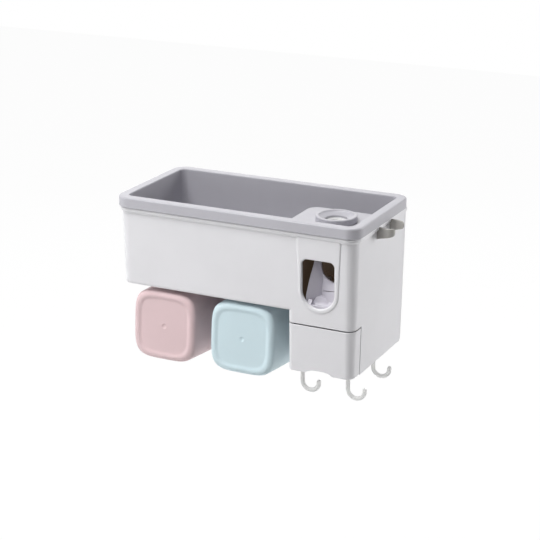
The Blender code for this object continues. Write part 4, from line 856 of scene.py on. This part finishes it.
@dataclass
class PushLever:
    """Pale lever behind the window: hub, a trough that widens to the cradle, two prongs and a pusher.

    A row is a height, then offset and depth of the trough's left edge, of its crease and of its right edge.
    The outlines are in depth and height, and that of the slot in offset and height.
    """

    pin: Flat = (0.0130, 0.0245)
    pin_radius: float = 0.00165
    pin_half: float = 0.03
    hub_radius: float = 0.0042
    hub_half: float = 0.012
    thickness: float = 0.0016
    half: float = 0.0145
    soft: float = 0.0004
    scoop: Flats = ((0.0068, -0.037), (0.0068, -0.034), (0.0071, -0.0337), (0.008, -0.0336),
                    (0.0086, -0.0343), (0.01, -0.0348), (0.0116, -0.0342), (0.0128, -0.0328),
                    (0.0136, -0.031), (0.0142, -0.0292), (0.015, -0.0276), (0.019, -0.0262),
                    (0.019, -0.037))
    slot: Flats = ((-0.0018, -0.0217), (0.016, -0.0168), (0.016, -0.0176), (-0.0018, -0.0224))
    slot_depths: Flat = (0.003, 0.024)
    prong: Flats = ((0.0062, -0.0348), (0.0062, -0.0336), (0.0092, -0.0292), (0.0106, -0.0292),
                    (0.0106, -0.0348))
    prong_ends: Flats = ((-0.0128, -0.0085), (0.0085, 0.0128))
    pusher: Flats = ((0.0192, -0.0185), (0.0235, -0.0185), (0.0235, -0.0085), (0.0192, -0.0085))
    pusher_ends: Flat = (-0.005, 0.005)
    rows: tuple = ((0.0245, (-0.004, 0.0095), (-0.0015, 0.012), (0.002, 0.0105)),
                   (0.016, (-0.0056, 0.0085), (-0.003, 0.015), (-0.0016, 0.013)),
                   (0.0085, (-0.0066, 0.0081), (-0.003, 0.0162), (-0.002, 0.0138)),
                   (0.0015, (-0.0084, 0.0081), (-0.0026, 0.0174), (-0.001, 0.013)),
                   (-0.0015, (-0.0092, 0.0081), (-0.0023, 0.018), (0.0004, 0.0124)),
                   (-0.0035, (-0.0098, 0.0081), (-0.0021, 0.0183), (0.002, 0.0116)),
                   (-0.0055, (-0.0103, 0.0081), (-0.0019, 0.0184), (0.0042, 0.0106)),
                   (-0.007, (-0.0107, 0.0081), (-0.0018, 0.0184), (0.0067, 0.0096)),
                   (-0.0082, (-0.0109, 0.0081), (-0.0018, 0.0184), (0.0098, 0.0088)),
                   (-0.0092, (-0.0112, 0.0081), (-0.0018, 0.0184), (0.0145, 0.008)),
                   (-0.0172, (-0.013, 0.0081), (-0.0024, 0.0184), (0.0145, 0.008)),
                   (-0.0256, (-0.0145, 0.0079), (-0.003, 0.0184), (0.0145, 0.008)),
                   (-0.035, (-0.0145, 0.0079), (-0.003, 0.0184), (0.0145, 0.008)))

    def trough(self) -> Form:
        """Creased plate from the hub to the cradle.

        Returns:
            The trough.
        """
        rings = []
        for z, left, crease, right in self.rows:
            fore = [(a[0] + (b[0] - a[0]) * k / 5, a[1] + (b[1] - a[1]) * k / 5)
                    for a, b in ((left, crease), (crease, right)) for k in range(5)]
            front = [(SIZE.middle + x, SIZE.front + y, z) for x, y in fore + [right]]
            rings.append(front + [(x, y + self.thickness, z) for x, y, _ in reversed(front)])
        return Form("brush_lever", rings)

    @staticmethod
    def slab(name: str, axis: int, outline: Flats, ends: Flat) -> Form:
        """Solid of an outline between two ends on an axis, measured from the tower's middle and the front."""
        aside, along = (SIZE.front, SIZE.middle) if axis == X else (SIZE.middle, SIZE.front)
        return Form.stack(name, axis, [(along + end, [(aside + u, z) for u, z in outline]) for end in ends])

    def build(self) -> None:
        """Build the lever."""
        lever, axis = self.trough(), (SIZE.front + self.pin[0], self.pin[1])
        lever.add(Form.rod("hub", axis, self.hub_half, self.hub_radius, 48),
                  self.slab("scoop", X, self.scoop, (-self.half, self.half)))
        lever.cut(self.slab("slot", Y, self.slot, self.slot_depths))
        for ends in self.prong_ends:
            lever.add(self.slab("prong", X, self.prong, ends).soften(self.soft))
        lever.add(self.slab("pusher", X, self.pusher, self.pusher_ends).soften(self.soft, 2))
        lever.cut(Form.rod("pin_hole", axis, self.pin_half, self.pin_radius, 32))
        lever.end("lever", Finish.LEVER, "push_lever", sharp=28.0)


@dataclass
class Drawer:
    """Drawer whose front wraps the tower's corners, with an arched finger notch."""

    seam_gap: float = 0.0015
    wrap: float = 0.0231
    front_wall: float = 0.0024
    wall: float = 0.0018
    edge: float = 0.0006
    foot: float = 0.0018
    foot_corner: float = 0.005
    foot_past: float = 0.0002
    rim: float = 0.0009
    rim_depths: Flat = (0.0003, 0.0014)
    notch_half: float = 0.0166
    notch_height: float = 0.0037
    left: float = 0.062490
    right: float = 0.118918
    floor_z: float = -0.0982
    top_gap: float = 0.0023
    rear: float = -0.0285
    flange: tuple[Point, Point] = ((0.06009, -0.1082, -0.0578), (0.121318, -0.0325, -0.0562))
    corner: float = 0.004
    front_corner: float = 0.0045
    fillet: float = 0.002

    def notch(self, grow: float) -> list[Flat]:
        """Wavy outline of the finger notch.

        Args:
            grow: Distance that it is grown by.

        Returns:
            The outline in X and Z.
        """
        bottom, half = SIZE.tower, self.notch_half + grow
        wide, below = half * 1.15, SIZE.tower - SIZE.overrun
        rise = self.notch_height + grow
        wave = [(SIZE.middle + half * share, bottom + rise * math.cos(share * share * math.pi / 2) ** 2)
                for share in (k / 20 - 1 for k in range(41))]
        return [(SIZE.middle + wide, below), (SIZE.middle - wide, below), (SIZE.middle - wide, bottom),
                *wave, (SIZE.middle + wide, bottom)]

    def tub(self, set_in: float) -> list[Flat]:
        """Outline of the drawer's tub at a distance inside its outer face."""
        sunk = SIZE.sink(SIZE.tower) + self.front_wall / 2
        return box((self.left + set_in, SIZE.front + sunk + set_in),
                   (self.right - set_in, self.rear - set_in),
                   (self.front_corner, SIZE.corner - sunk, self.corner, self.corner), 10)

    def build(self) -> None:
        """Build the drawer."""
        top, bottom, over = SIZE.seam - self.seam_gap, SIZE.tower, SIZE.overrun
        rear, high = SIZE.front + self.wrap, SIZE.seam - self.top_gap
        levels = [(bottom + rise, SIZE.tower_at(bottom, inset, rear)) for inset, rise in quarter(self.foot)]
        levels += [(top - rise, SIZE.tower_at(top, inset, rear))
                   for inset, rise in quarter(self.edge, 4)[::-1]]
        front = Form.stack("drawer_front", Z, levels)
        shallow, deep = self.rim_depths
        front.cut(Form.stack("hollow", Z, [
            (bottom - over, SIZE.tower_at(bottom, self.front_wall, rear + over)),
            (top - deep, SIZE.tower_at(top, self.front_wall, rear + over)),
            *((z, SIZE.tower_at(top, self.rim, rear + over)) for z in (top - shallow, top + over))]))
        front.add(Form.stack("box", Z, [(z, self.tub(0.0)) for z in (self.floor_z, high)]))
        front.add(Form.block("flange", *self.flange))
        inside = [(self.floor_z + self.wall + rise, self.tub(self.wall + set_in))
                  for set_in, rise in quarter(self.fillet, 4)]
        front.cut(Form.stack("inside", Z, inside + [(high + over, inside[-1][1])]))
        face = SIZE.front + SIZE.sink(bottom)
        lips = [(SIZE.front, self.notch(self.edge)), (face, self.notch(self.edge))]
        lips += [(face + rise, self.notch(set_in)) for set_in, rise in quarter(self.edge, 3)]
        front.cut(Form.stack("notch", Y, lips + [(face + self.front_wall, self.notch(0.0))]))
        left, corner = SIZE.tower_left, self.foot_corner
        round_off = [(left - over, bottom - over), (left + corner, bottom - over)]
        round_off += [(left + set_in, bottom + rise) for set_in, rise in quarter(corner, 10)]
        round_off += [(left - over, bottom + corner)]
        ends = (SIZE.front - over, rear + self.foot_past)
        front.cut(Form.stack("round_off", Y, [(y, round_off) for y in ends]))
        front.end("drawer_body", Finish.WHITE, "drawer", sharp=32.0)


@dataclass
class Cup:
    """Open cup lying with its recessed base to the room."""

    name: str
    colour: Finish
    index: int
    drop_gap: float
    half_width: float = 0.0345
    half_height: float = 0.03525
    length: float = 0.112
    flare: float = 0.0026
    ring_shares: Flat = (0.25, 0.6)
    wall: float = 0.002
    base: float = 0.0026
    base_centre: Flat = (0.0038, 0.02)
    base_to_wall: float = 0.012
    fillet: float = 0.0048
    recess: float = 0.0011
    recess_inset: float = 0.0066
    recess_centre: Flat = (0.0001, 0.012)
    slope: Flats = ((1.0, -0.004), (1.0, -0.0025), (0.9, -0.0015), (0.62, -0.0006), (0.3, 0.0002),
                    (0.08, 0.0010), (0.0, 0.0018))
    squareness: float = 4.2
    tilt: float = 4.0
    left_inset: float = 0.0507
    pitch: float = 0.0867
    face_depth: float = 0.004
    dot_radius: float = 0.0025
    dot: Flats = ((0.0, 1.25), (0.0002, 1.0), (0.0006, 0.8), (0.0008, 0.4))

    def place(self) -> Matrix:
        """Matrix from the cup's own axes to the scene's."""
        centre = (-SIZE.half + self.left_inset + self.index * self.pitch, SIZE.front + self.face_depth,
                  SIZE.floor - self.half_height - self.drop_gap)
        return Matrix.Translation(centre) @ Matrix.Rotation(-math.radians(self.tilt), 4, "X")

    def section(self, grow: float, steps: int = 128) -> list[Flat]:
        """Squarish section in X and Z, grown by grow."""
        power = 2 / self.squareness
        return [((self.half_width + grow) * math.copysign(abs(across) ** power, across),
                 (self.half_height + grow) * math.copysign(abs(up) ** power, up))
                for across, up in ring_of(1.0, steps)]

    def profile(self) -> list[Flat]:
        """Distance along the axis and growth of each section.

        Returns:
            Them, from the middle of the base outside to the middle of the base inside.
        """
        deep, edge, wall, lip = self.recess, self.recess_inset, self.wall, self.wall / 2
        outer = [(deep + self.recess_centre[0], -edge - self.recess_centre[1])]
        outer += [(deep * share, shift - edge) for share, shift in self.slope]
        outer += [(set_in, -rise) for set_in, rise in quarter(self.fillet, 10)[::-1]]
        outer += [(self.length * share, self.flare * share) for share in self.ring_shares]
        mouth = arc((self.flare - lip, self.length - lip), (lip, lip), 0.0, 1.0, 8)
        outer += [(along, grow) for grow, along in mouth]
        share = self.ring_shares[1]
        inner = [(self.length * share, self.flare * share - wall), (self.base_to_wall, -wall)]
        inner += [(self.base + set_in, -wall - rise) for set_in, rise in quarter(self.fillet)[1:]]
        return outer + inner + [(self.base_centre[0], -wall - self.base_centre[1])]

    def build(self) -> None:
        """Build the cup."""
        shell = [(along, self.section(grow)) for along, grow in self.profile()]
        cup = Form.stack(self.name + "_shell", Y, shell)
        dot = [(-SIZE.overrun, self.dot[0][1])] + [(self.recess + depth, share) for depth, share in self.dot]
        rings = [(y, ring_of(self.dot_radius * share, 32)) for y, share in dot]
        cup.cut(Form.stack(self.name + "_dot", Y, rings))
        cup.piece.data.transform(self.place())
        cup.end(self.name + "_body", self.colour, self.name, sharp=38.0)


@dataclass
class SideClip:
    """Forked clip on the right wall: the front horn bows out and curls in, the rear one leans in."""

    root: float = 0.1268
    depths: Flat = (0.054, 0.086)
    top: float = 0.0364
    heights: Flat = (0.0122, 0.0068)
    half_thick: float = 0.0011
    tip: float = 0.0026
    soft: float = 0.0005
    plate: tuple[Point, Point] = ((0.1263, -0.0776, 0.0246), (0.1275, -0.0462, 0.0324))
    plate_soft: float = 0.0004
    bow: Flats = ((0.0, 0.0012), (0.003, 0.0004), (0.006, -0.0005), (0.009, -0.0013), (0.0115, -0.0016),
                  (0.0135, -0.0011), (0.0151, 0.0001), (0.0161, 0.0017), (0.0163, 0.0030))
    lean: Flats = ((0.0, -0.0012), (0.004, -0.0016), (0.008, -0.0024), (0.0115, -0.0037),
                   (0.014, -0.0051), (0.0164, -0.0066))

    @staticmethod
    def smooth(bends: Flats, steps: int = 4) -> list[Flat]:
        """Smooth line through a horn's bends, each out from the wall and back from the horn's root.

        Args:
            bends: The bends.
            steps: Points from one bend to the next.

        Returns:
            The line's points.
        """
        line = [bends[0]]
        ends = [bends[0], *bends, bends[-1]]
        for around in zip(ends, ends[1:], ends[2:], ends[3:]):
            for u in ((k + 1) / steps for k in range(steps)):
                line.append(tuple(0.5 * (2 * h + (t - b) * u + (2 * b - 5 * h + 4 * t - a) * u ** 2
                                         + (3 * h - b - 3 * t + a) * u ** 3) for b, h, t, a in zip(*around)))
        return line

    def horn(self, depth: float, bends: Flats) -> Form:
        """One horn, with a rounded upper edge and a rounded tip.

        Args:
            depth: Distance of its root behind the rim's front.
            bends: Bends of its middle line.

        Returns:
            The horn.
        """
        line, lengths = self.smooth(bends), [0.0]
        for start, end in zip(line, line[1:]):
            lengths.append(lengths[-1] + math.dist(start, end))
        whole, rings = lengths[-1], []
        for (x, y), before, after, length in zip(line, [line[0]] + line, line[1:] + [line[-1]], lengths):
            run = math.dist(before, after)
            side = ((before[1] - after[1]) / run, (after[0] - before[0]) / run)
            left = max(0.0, (length - whole + self.tip) / self.tip)
            shrink = (1.0 - math.sqrt(max(0.0, 1.0 - left ** 2))) * self.tip * 0.9
            low = self.top - self.heights[0] + (self.heights[0] - self.heights[1]) * length / whole
            thick = self.half_thick * (1 - 0.3 * left)
            section = box((-thick, low + shrink), (thick, self.top - shrink), (self.soft,) * 4, 4)
            rings.append([(self.root + x + side[0] * u, SIZE.front + depth + y + side[1] * u, z)
                          for u, z in section])
        return Form("clip_horn", rings)

    def build(self) -> None:
        """Build the horns and the plate that joins them."""
        horns = self.horn(self.depths[0], self.bow)
        horns.add(self.horn(self.depths[1], self.lean))
        horns.end("organiser", Finish.CLIP, "side_clip", sharp=40.0)
        plate = Form.block("clip_plate", *self.plate).soften(self.plate_soft)
        plate.end("organiser", Finish.WHITE, "side_clip")


@dataclass
class SwivelHook:
    """J-shaped hook wire with a rounded tip, whose top reaches a little above the floor plate."""

    place: str
    x: float
    y: float
    wire: float = 0.0021
    bend: float = 0.0086
    drop: float = 0.0229
    tip_rise: float = 0.0011
    above: float = 0.003

    def path(self) -> list[Vector]:
        """Middle line of the hook.

        Returns:
            Its points from the cap to the tip.
        """
        bend_z = SIZE.tower - self.drop + self.bend + self.wire
        line = [(self.x, z) for z in (SIZE.tower + self.above, SIZE.tower, (SIZE.tower + bend_z) / 2, bend_z)]
        line += arc((self.x + self.bend, bend_z), (self.bend, self.bend), 1.0, 2.0, 32)[1:]
        line += [(self.x + 2 * self.bend, bend_z + self.tip_rise * share) for share in (0.5, 1.0)]
        return [Vector((x, self.y, z)) for x, z in line]

    def build(self) -> None:
        """Build the hook."""
        line, up, side = self.path(), Vector((0.0, 0.0, 1.0)), Vector((0.0, 1.0, 0.0))
        stations = [(point, (after - before).normalized(), self.wire)
                    for point, before, after in zip(line, line[:1] + line, line[1:] + line[-1:])]
        tip = [(self.wire * math.sin(angle), self.wire * math.cos(angle))
               for angle in (math.pi / 2 * k / 6.3 for k in range(1, 7))]
        stations += [(line[-1] + up * lift, up, width) for lift, width in tip]
        rings = [[tuple(point + side * v + side.cross(along) * u) for u, v in ring_of(width, 24)]
                 for point, along, width in stations]
        Form("hook_wire_" + self.place, rings).end("swivel_" + self.place, Finish.HOOK, "hook_" + self.place,
                                                   sharp=50.0)


def direction(turn: float, lift: float) -> Vector:
    """Unit vector by its degrees to the right of the front and above the horizon."""
    turn, lift = math.radians(turn), math.radians(lift)
    return Vector((math.sin(turn) * math.cos(lift), -math.cos(turn) * math.cos(lift), math.sin(lift)))


@dataclass(frozen=True)
class Studio:
    """Pale floor, camera and soft lamps.

    A lamp has a name, degrees to the right and above, a distance, a width and height, and watts.
    """

    azimuth: float = 26.27
    elevation: float = 18.68
    distance: float = 1.5541
    target: Point = (0.01357, -0.0769, -0.02361)
    lens: float = 105.25
    sensor: float = 36.0
    clip: Flat = (0.05, 20.0)
    floor_z: float = -0.46
    floor_half: float = 3.0
    grain: Lumps = (0.004, 3.0, 0.6)
    paper: Flat = (0.90, 0.93)
    ambient: float = 0.01
    whiteness: float = 0.94
    glow: float = 1.03
    lamps: tuple = (("left", -75.0, 10.0, 1.6, (0.9, 1.2), 5.5),
                    ("side", 112.0, 4.0, 1.7, (0.9, 1.2), 3.3),
                    ("far_side", 130.0, 8.0, 1.7, (0.7, 1.0), 12.2),
                    ("top", 10.0, 82.0, 1.5, (1.0, 0.8), 2.9),
                    ("key", -30.0, 62.0, 1.5, (0.8, 0.8), 21.0),
                    ("low", -15.0, -5.0, 1.6, (0.9, 0.9), 3.4),
                    ("low_left", -45.0, -8.0, 1.6, (0.9, 0.9), 3.2),
                    ("back", -150.0, 15.0, 1.7, (0.9, 0.9), 3.0))

    def aim(self, data: bpy.types.ID, away: Vector, far: float) -> bpy.types.Object:
        """Put a lamp or camera in the scene, turned to the target.

        Args:
            data: Its data.
            away: Direction from the target to it.
            far: Distance from the target.

        Returns:
            Its object.
        """
        hung = linked(data.name, data)
        hung.location = Vector(self.target) + away * far
        hung.rotation_euler = (-away).to_track_quat("-Z", "Y").to_euler()
        return hung

    def camera(self) -> None:
        """Set the camera at the photograph's angle."""
        lens = bpy.data.cameras.new("camera")
        lens.lens = self.lens
        lens.sensor_width = self.sensor
        lens.clip_start, lens.clip_end = self.clip
        bpy.context.scene.camera = self.aim(lens, direction(self.azimuth, self.elevation), self.distance)

    def world(self) -> None:
        """Light the scene evenly and show white behind the object."""
        sheet = ShaderSheet("studio", True)
        light = sheet.seen() * (1.0 - self.ambient) + self.ambient
        bpy.context.scene.world = sheet.fill({"Color": (1.0, 1.0, 1.0), "Strength": light})

    def floor(self) -> None:
        """Lay the pale floor far below the object, white to the camera but for its shadow."""
        data = bpy.data.meshes.new("studio_floor")
        half = self.floor_half
        outline = box((-half, -half), (half, half), (0.0,) * 4)
        data.from_pydata([(x, y, self.floor_z) for x, y in outline], [], [(0, 1, 2, 3)])
        floor = linked("studio_floor", data)
        sheet = ShaderSheet("studio_paper")
        paper = sheet.blend(sheet.noise(self.grain), *((tone,) * 3 for tone in self.paper))
        data.materials.append(sheet.fill({"Base Color": paper, "Roughness": 0.9}))
        glow = sheet.node("Emission", None, {"Color": (1.0, 1.0, 1.0), "Strength": self.glow})
        mixed = sheet.node("MixShader", None,
                           {0: sheet.seen() * self.whiteness, 1: sheet.shader.outputs[0], 2: glow.outputs[0]})
        sheet.feed(sheet.output.inputs["Surface"], mixed.outputs[0])

    def build(self) -> None:
        """Set up the whole studio."""
        bpy.context.scene.view_settings.view_transform = "Standard"
        self.camera()
        self.world()
        self.floor()
        for name, turn, lift, far, size, power in self.lamps:
            light = bpy.data.lights.new(name, "AREA")
            light.shape, light.energy = "RECTANGLE", power
            light.size, light.size_y = size
            self.aim(light, direction(turn, lift), far)


def dress_frame() -> None:
    """Dress each node that no piece stands for, by the slot that the record names."""
    by_slot = {finish.slot: finish for finish in Finish}
    for node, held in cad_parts.items():
        if node in Form.replaced:
            continue
        slots = held.data.materials
        finish = by_slot.get(slots[0].name.split(".")[0], Finish.WHITE)
        for index in range(len(slots)):
            slots[index] = finish.value.material()
        LOG.info("dressed %s as %s", node, finish.value.name)


def main() -> None:
    """Build the dispenser's pieces in order and report each."""
    logging.basicConfig(level=logging.INFO, format="%(message)s")
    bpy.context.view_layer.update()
    Studio().build()
    cups = (Cup("cup_pink", Finish.PINK, 0, 0.0043), Cup("cup_blue", Finish.BLUE, 1, 0.0034))
    hooks = (SwivelHook("front_left", 0.0683, -0.1162), SwivelHook("front_right", 0.116, -0.1162),
             SwivelHook("rear_right", 0.116, -0.0541))
    makers = (StorageTray(), TubeCollar(), CasingTrim(), PushLever(), Drawer(), *cups, SideClip(), *hooks)
    for maker in makers:
        maker.build()
    dress_frame()
    bpy.context.view_layer.update()


if __name__ == "__main__":
    main()
